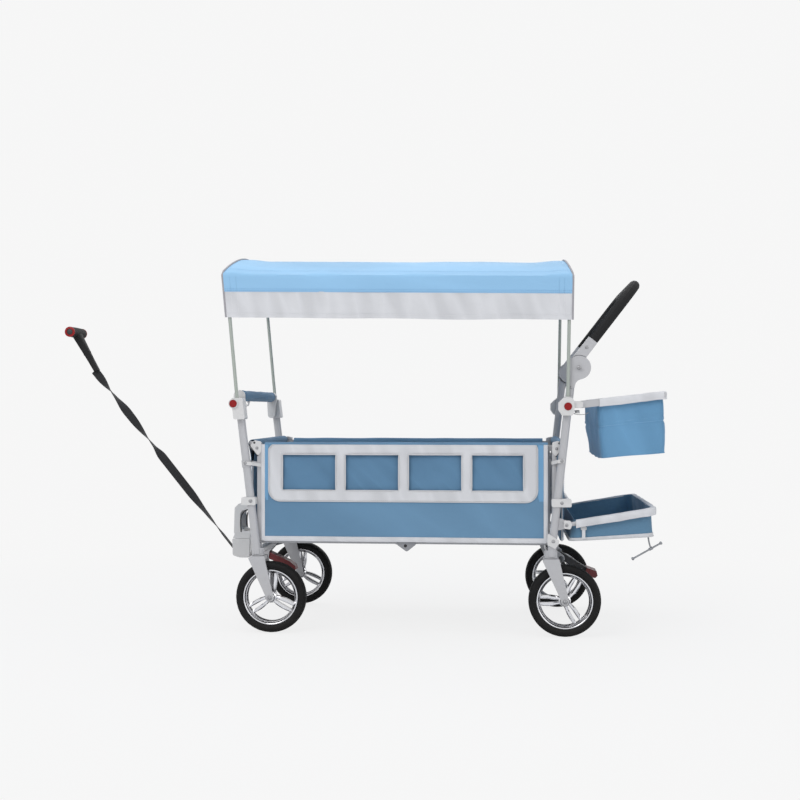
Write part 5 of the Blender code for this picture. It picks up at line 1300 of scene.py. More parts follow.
def make_end_cloth(side, word):
    """The tub's end cloth: up the inside, over the rim bar and down the outside."""
    section = [(END_BAR_X - gap, z) for gap, z in END_LAYER]
    for i in range(11):
        angle = math.radians(205 - 230 * i / 10)
        section.append((END_BAR_X + END_BAR_WRAP * math.cos(angle),
                        END_BAR_Z + END_BAR_WRAP * math.sin(angle)))
    section += [(END_BAR_X + gap, z) for gap, z in END_LAYER[::-1]]
    count = len(section) - 1

    def place(u, v):
        x, z = section[round(v * count)]
        y = -END_CLOTH_HALF + 2 * END_CLOTH_HALF * u
        out = 1 if v > 0.5 else -1
        free = max(0.0, min(1.0, (0.50 - z) / 0.08, (z - 0.262) / 0.05)) * min(1.0, 9 * u, 9 * (1 - u))
        loose = 0.0010 + abs(ripple(0, y + side, z, 7, 0.0030)) + ripple(0, y, z, 18, 0.0008)
        open_share = max(0.15, min(1.0, min(u, 1 - u) / 0.02), min(1.0, (z - 0.470) / 0.035))
        from_bar = (x - END_BAR_X) * open_share
        return at(side * (END_BAR_X + from_bar + out * loose * free), y, z)

    cloth = sheet_grid(f"end_cloth_{word}", place, 40, count, "blue_end_cloth", f"{word}_frame", 0.0012)
    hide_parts(f"end_wall_{word}")
    trim, thread = Pile(), Pile()
    for edge in (-1, 1):
        y = edge * (END_CLOTH_HALF - 0.001)
        line = [at(side * END_BAR_X, y, 0.262 + 0.220 * i / 12) for i in range(13)]
        trim.tube(line, 0.0018, 8)
        rise = [at(side * (END_BAR_X + 0.0066), edge * (END_CLOTH_HALF - 0.008), 0.266 + 0.23 * i / 12)
                for i in range(13)]
        thread.stitches(rise, Vector((side, 0, 0)))
    line = [at(side * (END_BAR_X + 0.0006), -END_CLOTH_HALF + 2 * END_CLOTH_HALF * i / 24, 0.2645)
            for i in range(25)]
    trim.tube(line, 0.0022, 8)
    across = [at(side * (END_BAR_X + 0.0088), -0.23 + 0.46 * i / 24, 0.4985) for i in range(25)]
    thread.stitches(across, Vector((side, 0, 0)))
    trim.finish(f"end_piping_{word}", "piping", f"{word}_frame")
    thread.finish(f"end_stitches_{word}", "blue_thread", f"{word}_frame")


# Rear pouch and tray: sewn cloth tubs hung in their tube frames

def tub_loop(front, rear, half, corner):
    """A level round-cornered loop: (share along x, share along y, outward x, outward y)."""
    corners = [(front, -half), (rear, -half), (rear, half), (front, half)]
    rough = rounded_loop(corners, corner, 6)
    loop = []
    for a, b in zip(rough, rough[1:] + rough[:1]):
        count = max(1, math.ceil(math.hypot(b[0] - a[0], b[1] - a[1]) / 0.016))
        loop += [(a[0] + (b[0] - a[0]) * i / count, a[1] + (b[1] - a[1]) * i / count) for i in range(count)]
    shares = []
    for i, (x, y) in enumerate(loop):
        ahead, back = loop[(i + 1) % len(loop)], loop[i - 1]
        run_x, run_y = ahead[0] - back[0], ahead[1] - back[1]
        run = math.hypot(run_x, run_y)
        shares.append(((x - front) / (rear - front), y / half, run_y / run, -run_x / run))
    return shares


def ring_skin(name, rings, finish, body, thickness=0.0014, capped=True, closed=True):
    """A skin through rings of points, the last one filled if capped."""
    count = len(rings[0])
    points = [p for ring in rings for p in ring]
    faces = []
    for j in range(len(rings) - 1):
        for i in range(count if closed else count - 1):
            k = (i + 1) % count
            faces.append((j * count + i, j * count + k, (j + 1) * count + k, (j + 1) * count + i))
    if capped:
        faces.append(tuple((len(rings) - 1) * count + i for i in range(count)))
    piece = add_mesh(name, points, faces, finish, None, sharp=CLOTH_SHARP)
    thicken(piece, thickness)
    smooth_over(piece, CLOTH_SHARP)
    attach(piece, body)
    return piece


def cloth_tub(name, loop, wall, floor_inset, finish, body, rows):
    """A sewn tub: wall rings from the rim down, then floor rings drawn in to the middle."""
    rings = [[wall(*place, j / rows) for place in loop] for j in range(rows + 1)]
    low = rings[-1]
    middle = sum(low, Vector()) / len(low)
    for share in (0.90, 0.72, 0.48, 0.22):
        rings.append([middle + (p - middle) * share + Vector((0, 0, floor_inset(share))) for p in low])
    return ring_skin(name, rings, finish, body)


def rim_band(name, line, section, body):
    """A white cloth band round a tube: a section of (out, up) along (point, outward) pairs."""
    rings = []
    for j, (out, up) in enumerate(section):
        edge = 1.0 if j in (0, len(section) - 1) else 0.0
        ring = []
        for point, outward in line:
            wave = ripple(point.x, point.y, j * 0.3, 22, 0.0011)
            wave += edge * ripple(point.x, point.y, 0, 40, 0.0012)
            ring.append(point + outward * (out + wave * 0.6) + Vector((0, 0, up + wave)))
        rings.append(ring)
    return ring_skin(name, rings, "white_cloth", body, 0.0012, capped=False, closed=False)


ARM_STEPS = 18
TURN_STEPS = 8
ACROSS_STEPS = 32
SIDE_COUNT = ARM_STEPS + TURN_STEPS
NEAR_RUN = (slice(0, ARM_STEPS + 1), (0, -1, 0))
REAR_RUN = (slice(SIDE_COUNT, SIDE_COUNT + ACROSS_STEPS + 1), (1, 0, 0))
FAR_RUN = (slice(-ARM_STEPS - 1, None), (0, 1, 0))


def u_line(start_x, end_x, half, corner, height):
    """(point, outward) pairs along a U: out along the near side, across, back along the far side."""
    pairs = []
    for i in range(ARM_STEPS + 1):
        x = start_x + (end_x - corner - start_x) * i / ARM_STEPS
        pairs.append((x, -half, 0.0, -1.0))
    for i in range(1, TURN_STEPS):
        a = math.pi / 2 * i / TURN_STEPS
        pairs.append((end_x - corner + corner * math.sin(a), -half + corner - corner * math.cos(a),
                      math.sin(a), -math.cos(a)))
    for i in range(ACROSS_STEPS + 1):
        y = -half + corner + 2 * (half - corner) * i / ACROSS_STEPS
        pairs.append((end_x, y, 1.0, 0.0))
    pairs += [(x, -y, nx, -ny) for x, y, nx, ny in pairs[:SIDE_COUNT][::-1]]
    return [(at(x, y, height(x)), Vector((nx, ny, 0))) for x, y, nx, ny in pairs]


def band_stitches(pile, line, out, drop, runs):
    """Thread along the outer face of a band, on the runs of its line that are asked for."""
    for run, normal in runs:
        pile.stitches([point + outward * out + Vector((0, 0, -drop)) for point, outward in line[run]], normal)


POUCH_TOP_FRONT = 0.5310
POUCH_TOP_REAR = 0.7085
POUCH_HALF = 0.2668
POUCH_PIVOT_X = 0.483
POUCH_PIVOT_Z = 0.641
POUCH_SLOPE = 0.1152
POUCH_SEAMS = (0.40, 0.455)    # shares of the wall's depth at which its two seams run

SPRING_OUT = 0.2735
SPRING_RADIUS = 0.0040
SPRING_HOOK = ((0.4655, 0.6160), (0.4800, 0.6135), (0.4990, 0.6150), (0.5060, 0.6200))


def pouch_rim_z(x):
    """The height of the pouch's frame at a place along the wagon."""
    return POUCH_PIVOT_Z + POUCH_SLOPE * (x - POUCH_PIVOT_X)


def pouch_wall(share_x, share_y, out_x, out_y, t, more=0.0):
    """A point of the pouch's wall, t of the way down from its rim, and more standing out of it."""
    front = POUCH_TOP_FRONT + 0.0140 * t
    rear = POUCH_TOP_REAR + 0.0075 * t
    x = front + (rear - front) * share_x
    y = share_y * (POUCH_HALF - 0.0100 * t)
    low = 0.4970 + 0.08 * (x - 0.545) - 0.0050 * (1 - share_y ** 2) - 0.0015
    low += ripple(x, y, 0, 12, 0.0030)
    z = pouch_rim_z(x) + 0.006 + (low - pouch_rim_z(x) - 0.006) * t
    free = math.sin(math.pi * min(1.0, t * 1.05))
    out = 0.0030 * free + ripple(x, y, z, 9, 0.0055, 4.0) * free
    out += ripple(x * 1.6, y * 1.6, z * 0.6 + x, 26, 0.0032, 9.0) * free
    for seam in POUCH_SEAMS:
        out -= 0.0024 * math.exp(-((t - seam) / 0.016) ** 2)
    gathered = math.exp(-((t - 0.43) / 0.06) ** 2)
    out += ripple(x * 3.0, y * 3.0, t, 30, 0.0030, 5.0) * gathered * free
    out += more
    return at(x + out_x * out, y + out_y * out, z)


def make_pouch():
    """The rear pouch: its gathered bag, the white band over the frame, seams, thread and springs."""
    loop = tub_loop(POUCH_TOP_FRONT, POUCH_TOP_REAR, POUCH_HALF, 0.020)
    bag = cloth_tub("pouch_cloth", loop, pouch_wall, lambda share: -0.004 * (1 - share) * share * 4,
                    "pocket_cloth", "pouch", 26)
    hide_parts("pouch_bag")
    section = [(-0.0068, -0.0105), (-0.0069, 0.0020), (-0.0066, 0.0072), (-0.0040, 0.0094), (0.0, 0.0102),
               (0.0040, 0.0094), (0.0066, 0.0072), (0.0070, 0.0010), (0.0069, -0.0060), (0.0064, -0.0118)]
    line = u_line(0.5365, 0.7130, 0.27325, 0.010, pouch_rim_z)
    band = rim_band("pouch_band", line, section, "pouch")
    threads = Pile()
    side_run = [place for place in loop if place[1] < -0.90]
    far_run = [place for place in loop if place[1] > 0.90]
    rear_run = [place for place in loop if place[0] > 0.93]
    for t in POUCH_SEAMS:
        for run in (side_run, far_run):
            run = sorted(run, key=lambda place: place[0])
            normal = Vector((0, run[len(run) // 2][3], 0))
            threads.stitches([pouch_wall(*place, t, 0.0012) for place in run], normal, lift=0.0005)
        run = sorted(rear_run, key=lambda place: place[1])
        threads.stitches([pouch_wall(*place, t, 0.0012) for place in run], Vector((1, 0, 0)), lift=0.0005)
    threads.finish("pouch_stitches", "pouch_thread", "pouch")
    light = Pile()
    band_stitches(light, line, 0.0078, 0.0085, (NEAR_RUN, REAR_RUN, FAR_RUN))
    light.finish("pouch_band_stitches", "thread", "pouch")

    # Hem along the front wall's top edge, and the seams down the corners and round the floor
    front = [place for place in loop if place[0] < 0.07 and abs(place[1]) < 0.97]
    front.sort(key=lambda place: place[1])
    hem = Pile()
    hem.tube([pouch_wall(*place, 0.0, 0.0004) for place in front], 0.0023, 8)
    hem.finish("pouch_front_hem", "pocket_cloth", "pouch")
    seams = Pile()
    for wanted in ((0.0, -1.0), (1.0, -1.0), (1.0, 1.0), (0.0, 1.0)):
        place = min(loop, key=lambda p: (p[0] - wanted[0]) ** 2 + (p[1] - wanted[1]) ** 2)
        seams.tube([pouch_wall(*place, 0.10 + 0.90 * i / 20, 0.0006) for i in range(21)], 0.0011, 6)
    seams.tube([pouch_wall(*place, 1.0, 0.0004) for place in loop], 0.0014, 6, closed=True)
    seams.finish("pouch_seams", "pocket_cloth", "pouch")

    # Springs and wire hooks below the arms
    metal = Pile()
    for side, _ in SIDES:
        coil = []
        for i in range(97):
            angle = math.tau * 6 * i / 96
            coil.append(at(0.4695 + 0.0130 * i / 96, side * SPRING_OUT + SPRING_RADIUS * math.cos(angle),
                           0.6215 + SPRING_RADIUS * math.sin(angle)))
        metal.tube(coil, 0.0008, 6)
        hook = smooth_line([at(x, side * SPRING_OUT, z) for x, z in SPRING_HOOK], 5)
        metal.tube(hook, 0.0009, 6)
    metal.finish("pouch_springs", "bolt_steel", "rear_frame")


TRAY_FRONT = 0.4680
TRAY_REAR = 0.6775
TRAY_HALF = 0.2700
TRAY_PIVOT_X = 0.4465
TRAY_PIVOT_Z = 0.3103
TRAY_SLOPE = 0.171
ROD_Y = -0.2400


def tray_rim_z(x):
    """The height of the tray's frame at a place along the wagon."""
    return TRAY_PIVOT_Z + TRAY_SLOPE * (x - TRAY_PIVOT_X)


def tray_wall(share_x, share_y, out_x, out_y, t, more=0.0):
    """A point of the tray's wall, t of the way down from its rim, and more standing out of it."""
    front = TRAY_FRONT - 0.0120 * t
    rear = TRAY_REAR + 0.0060 * t
    x = front + (rear - front) * share_x
    y = share_y * (TRAY_HALF - 0.004 * t)
    low = 0.2665 + 0.0140 * (x - 0.455) / 0.225 - 0.0040 * (1 - share_y ** 2)
    z = tray_rim_z(x) + 0.009 + (low - tray_rim_z(x) - 0.009) * t
    free = math.sin(math.pi * min(1.0, t * 1.05))
    out = (0.0012 + ripple(x, y, z, 10, 0.0036, 2.0) + ripple(x, y, z, 28, 0.0018)) * free + more
    return at(x + out_x * out, y + out_y * out, z)


def make_tray():
    """The rear tray: its basket, the white band and hem, piping, side straps and the rod below."""
    loop = tub_loop(TRAY_FRONT, TRAY_REAR, TRAY_HALF, 0.026)
    # The tray's cloth takes the darker blue finish: painted shade.
    basket = cloth_tub("tray_cloth_painted_shade", loop, tray_wall, lambda share: -0.003 * (1 - share) * share * 4,
                       "tray_cloth_painted_shade", "tray", 14)
    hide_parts("tray_basket")
    section = [(-0.0072, 0.0058), (-0.0066, 0.0078), (-0.0050, 0.0090), (0.0, 0.0098),
               (0.0050, 0.0088), (0.0076, 0.0055), (0.0080, -0.0010), (0.0074, -0.0075), (0.0066, -0.0118)]
    line = u_line(0.4720, 0.6848, 0.2765, 0.030, tray_rim_z)
    band = rim_band("tray_band", line, section, "tray")
    hem_rings = [[tray_wall(*place, t, 0.0018) + Vector((0, 0, drop)) for place in loop]
                 for t, drop in ((0.885, 0.0), (0.945, 0.0), (1.0, 0.0), (1.0, -0.0022))]
    hem = ring_skin("tray_hem", hem_rings, "white_cloth", "tray", 0.0012, capped=False)
    trim, light = Pile(), Pile()
    trim.tube([tray_wall(*place, 1.0, 0.0022) for place in loop], 0.0016, 8, closed=True)
    front_seam = [tray_wall(0.16, -1.0, 0, -1, i / 6, 0.0016) for i in range(7)]
    trim.tube(smooth_line(front_seam, 2), 0.0012, 6)
    trim.finish("tray_piping", "piping", "tray")
    band_stitches(light, line, 0.0086, 0.0090, (NEAR_RUN, REAR_RUN))
    light.finish("tray_band_stitches", "thread", "tray")

    # Side straps with their ladder buckles
    straps, buckles = Pile(), Pile()
    strap_front, strap_rear, strap_y = 0.4885, 0.4975, 0.2745
    bar_front, bar_rear, bar_y = 0.4865, 0.4995, 0.2768
    for side, _ in SIDES:
        outline = [(strap_front, 0.2735), (strap_rear, 0.2735), (strap_rear, 0.3080), (strap_front, 0.3080)]
        straps.plate([at(x, side * strap_y, z) for x, z in outline], (0, side, 0), 0.0014)
        for z in (0.2980, 0.3040):
            buckles.tube([at(bar_front, side * bar_y, z), at(bar_rear, side * bar_y, z)], 0.0012, 8)
        for x in (bar_front, bar_rear):
            buckles.tube([at(x, side * bar_y, 0.2975), at(x, side * bar_y, 0.3045)], 0.0012, 8)
    straps.finish("tray_straps", "white_cloth", "tray")
    buckles.finish("tray_buckles", "white_moulding", "tray")

    # Steel rod with its end knobs, hung under the rear corner
    rod = Pile()
    low, high = at(0.6275, ROD_Y, 0.2140), at(0.7085, ROD_Y, 0.2605)
    along = (high - low).normalized()
    rod.tube([low + (high - low) * i / 6 for i in range(7)], 0.0024, 10)
    knob = [(-0.006, 0.0024), (-0.005, 0.0042), (-0.002, 0.0048), (0.000, 0.0040), (0.001, 0.0015)]
    for end, way in ((low, -1), (high, 1)):
        rod.turned(end, along * way, knob, 14)
    drop = [(0.6715, 0.2790), (0.6735, 0.2640), (0.6765, 0.2520), (0.6795, 0.2455)]
    rod.tube(smooth_line([at(x, ROD_Y, z) for x, z in drop], 6), 0.0022, 10)
    clip = [(-0.0060, 0.0024), (-0.0055, 0.0042), (0.0055, 0.0042), (0.0060, 0.0024)]
    rod.turned(at(0.6790, ROD_Y, 0.2436), along, clip, 14)
    rod.finish("tray_rod", "steel_coat_and_painted_shade", "tray")


# Wheels: moulded tyres with a ribbed tread, chromed rims with three pairs of bars

TYRE_SECTION = [(-0.0140, 0.0774), (-0.0168, 0.0786), (-0.0190, 0.0830), (-0.0199, 0.0875), (-0.0197, 0.0915),
                (-0.0186, 0.0945), (-0.0170, 0.0964), (-0.0158, 0.0974), (-0.0146, 0.0968), (-0.0136, 0.0968),
                (-0.0128, 0.0984), (-0.0085, 0.0993), (-0.0076, 0.0984), (-0.0064, 0.0984), (-0.0056, 0.0997),
                (0.0, 0.1000)]
RIM_SECTION = [(-0.0150, 0.0769), (-0.0152, 0.0752), (-0.0146, 0.0738), (-0.0132, 0.0728), (-0.0116, 0.0722),
               (-0.0095, 0.0700), (-0.0075, 0.0676), (-0.0050, 0.0668), (0.0, 0.0667)]
BAR_ANGLES = {"front": (88, 212, 334), "rear": (58, 180, 302)}


def mirrored_section(half):
    return half + [(-t, r) for t, r in half[-2::-1]]


def wheel_ring(centre, section, sides, cut=0.0):
    """A closed ring about the Y axis; cut notches the tread's shoulders and crown at every fourth step."""
    points, faces = [], []
    count = len(section)
    for k in range(sides):
        angle = math.tau * k / sides
        for j, (t, r) in enumerate(section):
            notch = cut if k % 4 == 0 and 6 <= min(j, count - 1 - j) <= 7 else 0.0
            rib = cut * 0.6 if k % 4 == 2 and 10 <= min(j, count - 1 - j) <= 11 else 0.0
            near = r - notch - rib
            points.append(centre + Vector((math.cos(angle) * near, t, math.sin(angle) * near)))
    for k in range(sides):
        m = (k + 1) % sides
        for j in range(count):
            n = (j + 1) % count
            faces.append((k * count + j, k * count + n, m * count + n, m * count + j))
    return points, faces


def bar_parts(centre, angle, lean):
    """One chromed bar from hub to rim: a ridged section that thickens at both ends."""
    along = Vector((math.cos(angle), 0, math.sin(angle)))
    across = Vector((-math.sin(angle), 0, math.cos(angle)))
    stations = 9
    points, faces = [], []
    for i in range(stations):
        share = i / (stations - 1)
        radius = 0.0120 + 0.0562 * share
        wide = 0.0042 + 0.0012 * math.sin(math.pi * share)
        deep = 0.0095 - 0.0022 * share
        shift = lean * (0.0058 + 0.0036 * share + 0.0020 * math.sin(math.pi * share))
        middle = centre + along * radius + across * shift
        for a, b in ((-1, -0.72), (-0.45, -1), (0.45, -1), (1, -0.72), (1, 0.72), (0.45, 1), (-0.45, 1),
                     (-1, 0.72)):
            points.append(middle + across * (a * wide) + Vector((0, b * deep, 0)))
    for i in range(stations - 1):
        for k in range(8):
            m = (k + 1) % 8
            faces.append((i * 8 + k, i * 8 + m, (i + 1) * 8 + m, (i + 1) * 8 + k))
    faces.append(tuple(range(8))[::-1])
    faces.append(tuple((stations - 1) * 8 + k for k in range(8)))
    return points, faces


def make_wheel(end, word):
    """A ribbed tyre, its chromed rim with three pairs of bars and a hub, and the hub's seals."""
    low, high = box_of(f"tyre_{end}_{word}")
    centre = (low + high) / 2
    body = f"wheel_{end}_{word}"
    rubber = Pile()
    rubber.add(*wheel_ring(centre, mirrored_section(TYRE_SECTION), 144, 0.0016))
    tyre = rubber.finish(f"tread_{end}_{word}", "tyre_rubber", body, 50)
    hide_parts(f"tyre_{end}_{word}")
    metal = Pile()
    metal.add(*wheel_ring(centre, mirrored_section(RIM_SECTION), 96))
    for angle in BAR_ANGLES[end]:
        for lean in (-1, 1):
            metal.add(*bar_parts(centre, math.radians(angle), lean))
    hub = [(-0.0222, 0.0060), (-0.0222, 0.0102), (-0.0210, 0.0116), (-0.0120, 0.0122), (-0.0100, 0.0158),
           (-0.0080, 0.0166), (0.0080, 0.0166), (0.0100, 0.0158), (0.0120, 0.0122), (0.0210, 0.0116),
           (0.0222, 0.0102), (0.0222, 0.0060)]
    metal.turned(centre, (0, 1, 0), hub, 40)
    rim = metal.finish(f"spoked_rim_{end}_{word}", "chrome_plate", body, 35)
    # The bars' sides and the rim's inner faces take the darkened chrome: a painted dark reflection.
    rim.data.materials.append(FINISH["chrome_painted_dark_reflection"])
    for face in rim.data.polygons:
        out = face.center - centre
        inside = out.x * face.normal.x + out.z * face.normal.z < 0
        spoke = 0.018 < math.hypot(out.x, out.z) < 0.0665
        if abs(face.normal.y) < 0.6 and (spoke or inside):
            face.material_index = 1
    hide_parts(f"rim_{end}_{word}")
    seals = Pile()
    for way in (-1, 1):
        seals.turned(centre + Vector((0, way * 0.0168, 0)), (0, way, 0),
                     [(0.0, 0.0124), (0.0006, 0.0134), (0.0030, 0.0134), (0.0036, 0.0124)], 32)
    seals.finish(f"hub_seal_{end}_{word}", "black_moulding", body)


# Small metalwork: bolts, plates, screws and rivets

def bolt(pile, x, y, z, side, radius=0.0048, height=0.0028):
    """A domed bolt head with a socket in it, standing out to one side."""
    r, h = radius, height
    profile = [(-0.0004, r * 1.22), (0.0005, r * 1.22), (0.0006, r), (h * 0.45, r * 0.98),
               (h * 0.8, r * 0.82), (h, r * 0.52), (h * 0.97, r * 0.46), (h * 0.45, r * 0.42)]
    pile.turned(at(x, y, z), (0, side, 0), profile, 22)


def side_plate(pile, corners, y, side, thickness=0.0020, radius=0.004):
    """A thin round-cornered plate lying on the wagon's side."""
    pile.plate([at(x, side * y, z) for x, z in rounded_loop(corners, radius, 3)], (0, side, 0), thickness)


LINK_IN = 0.2560             # the link bars' inner face at the tub
LINK_OUT = 0.2772            # and at the uprights
LINK_THICKNESS = 0.0022
LINK_FRONT_Z = 0.4770
LINK_REAR_Z = 0.4860


def make_hardware():
    """Link bars, brackets, covers and bolts, gathered into one piece for each kind and body."""
    rear_bolts, front_bolts, corner_plates, black_pads = Pile(), Pile(), Pile(), Pile()
    handle_bolts, tray_covers, tray_bolts, grip_parts = Pile(), Pile(), Pile(), Pile()
    hinge_bolts = Pile()
    hinge_plates, foot_plates, rear_links, front_links = Pile(), Pile(), Pile(), Pile()
    for side, word in SIDES:
        fork_low, fork_high = box_of(f"fork_front_{word}")
        fork_out = max(abs(fork_low.y), abs(fork_high.y))
        clamp_out = abs(box_of("mid_bar_front")[0].y)
        # Short link bars from the tub's edge out to the uprights' bolts
        for links, near, far, level in ((rear_links, 0.4060, 0.4410, LINK_REAR_Z),
                                        (front_links, -0.4085, -0.4560, LINK_FRONT_Z)):
            bend = near + (far - near) * 0.45
            sloped = [(near, level - 0.0115), (near, level - 0.0020), (bend, level + 0.0035),
                      (bend, level - 0.0065)]
            rise = (LINK_OUT - LINK_IN) / (bend - near)
            links.plate([at(x, side * (LINK_IN + rise * (x - near)), z)
                         for x, z in rounded_loop(sloped, 0.0008, 2)], (0, side, 0), LINK_THICKNESS)
            flat = [(bend, level - 0.0065), (bend, level + 0.0035), (far, level + 0.0050),
                    (far, level - 0.0045)]
            side_plate(links, flat, LINK_OUT, side, LINK_THICKNESS, 0.0030)
        # Tub corner brackets, their bolts and black insert pads
        for end in (-1, 1):
            corner = [(0.4262, 0.5410), (0.4405, 0.5265), (0.4175, 0.4965), (0.4085, 0.5090),
                      (0.4085, 0.5370)]
            side_plate(corner_plates, [(end * x, z) for x, z in corner], 0.2540, side, 0.0026)
            edge = [(0.4405, 0.5300), (0.4425, 0.5262), (0.4190, 0.4955), (0.4168, 0.4975)]
            side_plate(black_pads, [(end * x, z) for x, z in edge], 0.2538, side, 0.0022, 0.0008)
            pad = [(0.4275, 0.5375), (0.4315, 0.5335), (0.4280, 0.5300), (0.4240, 0.5340)]
            side_plate(black_pads, [(end * x, z) for x, z in pad], 0.2562, side, 0.0012, 0.0012)
            bolt(rear_bolts if end > 0 else front_bolts, end * 0.4205, side * 0.2566, 0.5190, side, 0.0036)
        side_plate(foot_plates, [(0.3945, 0.2880), (0.3945, 0.2545), (0.4150, 0.2440), (0.4245, 0.2560),
                                 (0.4270, 0.2670)], 0.2762, side, 0.0026, 0.003)
        foot_plates.block(at(0.3960, side * 0.2545, 0.2580), at(0.4020, side * 0.2765, 0.2780))
        bolt(rear_bolts, 0.4102, side * 0.2786, 0.2650, side, 0.0042)
        bolt(front_bolts, -0.4110, side * 0.2542, 0.2540, side, 0.0034)
        side_plate(hinge_plates, [(-0.0370, 0.2580), (0.0035, 0.2285), (0.0410, 0.2580)], 0.2452, side,
                   0.0022, 0.006)
        bolt(hinge_bolts, 0.0, side * 0.2472, 0.2455, side, 0.0036)
        # Links, clamps and axles
        bolt(front_bolts, -0.4495, side * (LINK_OUT + LINK_THICKNESS), LINK_FRONT_Z, side, 0.0040)
        bolt(rear_bolts, 0.4340, side * (LINK_OUT + LINK_THICKNESS), LINK_REAR_Z, side, 0.0040)
        bolt(front_bolts, -0.4340, side * (clamp_out - 0.0004), 0.3705, side, 0.0046)
        bolt(rear_bolts, 0.4340, side * (clamp_out - 0.0004), 0.3705, side, 0.0040)
        for end, x in ((-1, -0.379), (1, 0.442)):
            bolt(front_bolts if end < 0 else rear_bolts, x, side * (fork_out - 0.0004), 0.100, side, 0.0052,
                 0.0032)
        bolt(rear_bolts, 0.4584, side * 0.2768, 0.6875, side, 0.0030, 0.0018)
        # Push handle joints
        joint_low, joint_high = box_of(f"upright_rear_{word}")
        disc_out = max(abs(joint_low.y), abs(joint_high.y))
        bolt(rear_bolts, 0.4804, side * disc_out, 0.7420, side, 0.0052, 0.0030)
        bolt(handle_bolts, 0.5017, side * 0.2752, 0.7985, side, 0.0040, 0.0024)
        # Tray covers
        cover = [(0.4390, 0.3010), (0.4570, 0.2990), (0.4615, 0.3110), (0.4570, 0.3225), (0.4390, 0.3235)]
        side_plate(tray_covers, cover, 0.2826, side, 0.0024)
        bolt(tray_bolts, TRAY_PIVOT_X, side * 0.2848, TRAY_PIVOT_Z, side, 0.0040)
        # Front grip: the bolt through its foot
        bolt(grip_parts, -0.4745, side * 0.2464, 0.6120, side, 0.0040)
    foot_plates.finish("foot_brackets", "white_moulding", "rear_frame", PLATE_SHARP)
    rear_links.finish("rear_link_bars", "white_moulding", "rear_frame", PLATE_SHARP)
    front_links.finish("front_link_bars", "white_moulding", "front_frame", PLATE_SHARP)
    rear_bolts.finish("rear_bolts", "bolt_steel", "rear_frame")
    front_bolts.finish("front_bolts", "bolt_steel", "front_frame")
    handle_bolts.finish("handle_screws", "bolt_steel", "push_handle")
    tray_bolts.finish("tray_bolts", "bolt_steel", "tray")
    grip_parts.finish("grip_bolts", "bolt_steel", "front_grip")
    covers = tray_covers.finish("tray_covers", "white_moulding", "tray", PLATE_SHARP)
    # The hinge covers take the darker grey finish as painted shade: white-coated covers in shadow.
    for pile, name, finish in ((corner_plates, "corner_brackets", "white_moulding"),
                               (black_pads, "bracket_pads", "black_moulding"),
                               (hinge_plates, "hinge_covers_painted_shade", "steel_coat_and_painted_shade"),
                               (hinge_bolts, "hinge_bolts", "black_moulding")):
        tub_piece(pile.finish(name, finish, None, PLATE_SHARP))


# Front grip's sleeve with its hooks, and the pull handle

HOOK_PLACES = (-0.212, -0.118)
SLEEVE_RADIUS = 0.0143


def make_grip_sleeve():
    """The padded cloth sleeve on the front grip bar, its seams and the hooks below it."""
    low, high = box_of("grip_sleeve")
    middle = (low + high) / 2
    half = (high.y - low.y) / 2

    def place(u, v):
        y = middle.y - half + 2 * half * u
        angle = math.tau * v
        drape = ripple(u * 3, math.cos(angle), math.sin(angle), 3, 0.0016)
        pucker = ripple(y, math.cos(angle) * 0.03, math.sin(angle) * 0.03, 60, 0.0009)
        radius = SLEEVE_RADIUS + drape + pucker - 0.0012 * max(0.0, abs(2 * u - 1) - 0.97) / 0.03
        return Vector((middle.x + radius * math.cos(angle), y, middle.z + radius * math.sin(angle)))

    hooks = Pile()
    for y in HOOK_PLACES:
        top = Vector((middle.x, y, middle.z - 0.0135))
        hooks.turned(top + Vector((0, 0, 0.002)), (0, 0, -1),
                     [(0.0, 0.0040), (0.0070, 0.0046), (0.0080, 0.0032)], 16)
        bend = [(0, 0), (0, -0.0100), (-0.0020, -0.0140), (-0.0060, -0.0150), (-0.0085, -0.0125),
                (-0.0088, -0.0095)]
        hooks.tube([top + Vector((x, 0, z)) for x, z in bend], 0.0026, 8)
    hooks.finish("grip_hooks", "white_moulding", "front_grip")

    sleeve = sheet_grid("front_grip_sleeve", place, 88, 24, "blue_end_cloth", "front_grip", close=True)
    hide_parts("grip_sleeve")
    seam = Pile()
    seam.tube([Vector((middle.x + 0.002, middle.y - half + 0.004 + (2 * half - 0.008) * i / 60,
                       middle.z - 0.0146 + ripple(i * 0.2, 0, 0, 1, 0.0006))) for i in range(61)], 0.0010, 6)
    for edge in (-1, 1):
        ring = []
        for i in range(28):
            angle = math.tau * i / 28
            ring.append(Vector((middle.x + 0.0145 * math.cos(angle), middle.y + edge * (half - 0.0035),
                                middle.z + 0.0145 * math.sin(angle))))
        seam.tube(ring, 0.0011, 6, closed=True)
    seam.finish("grip_sleeve_seams", "blue_thread", "front_grip")


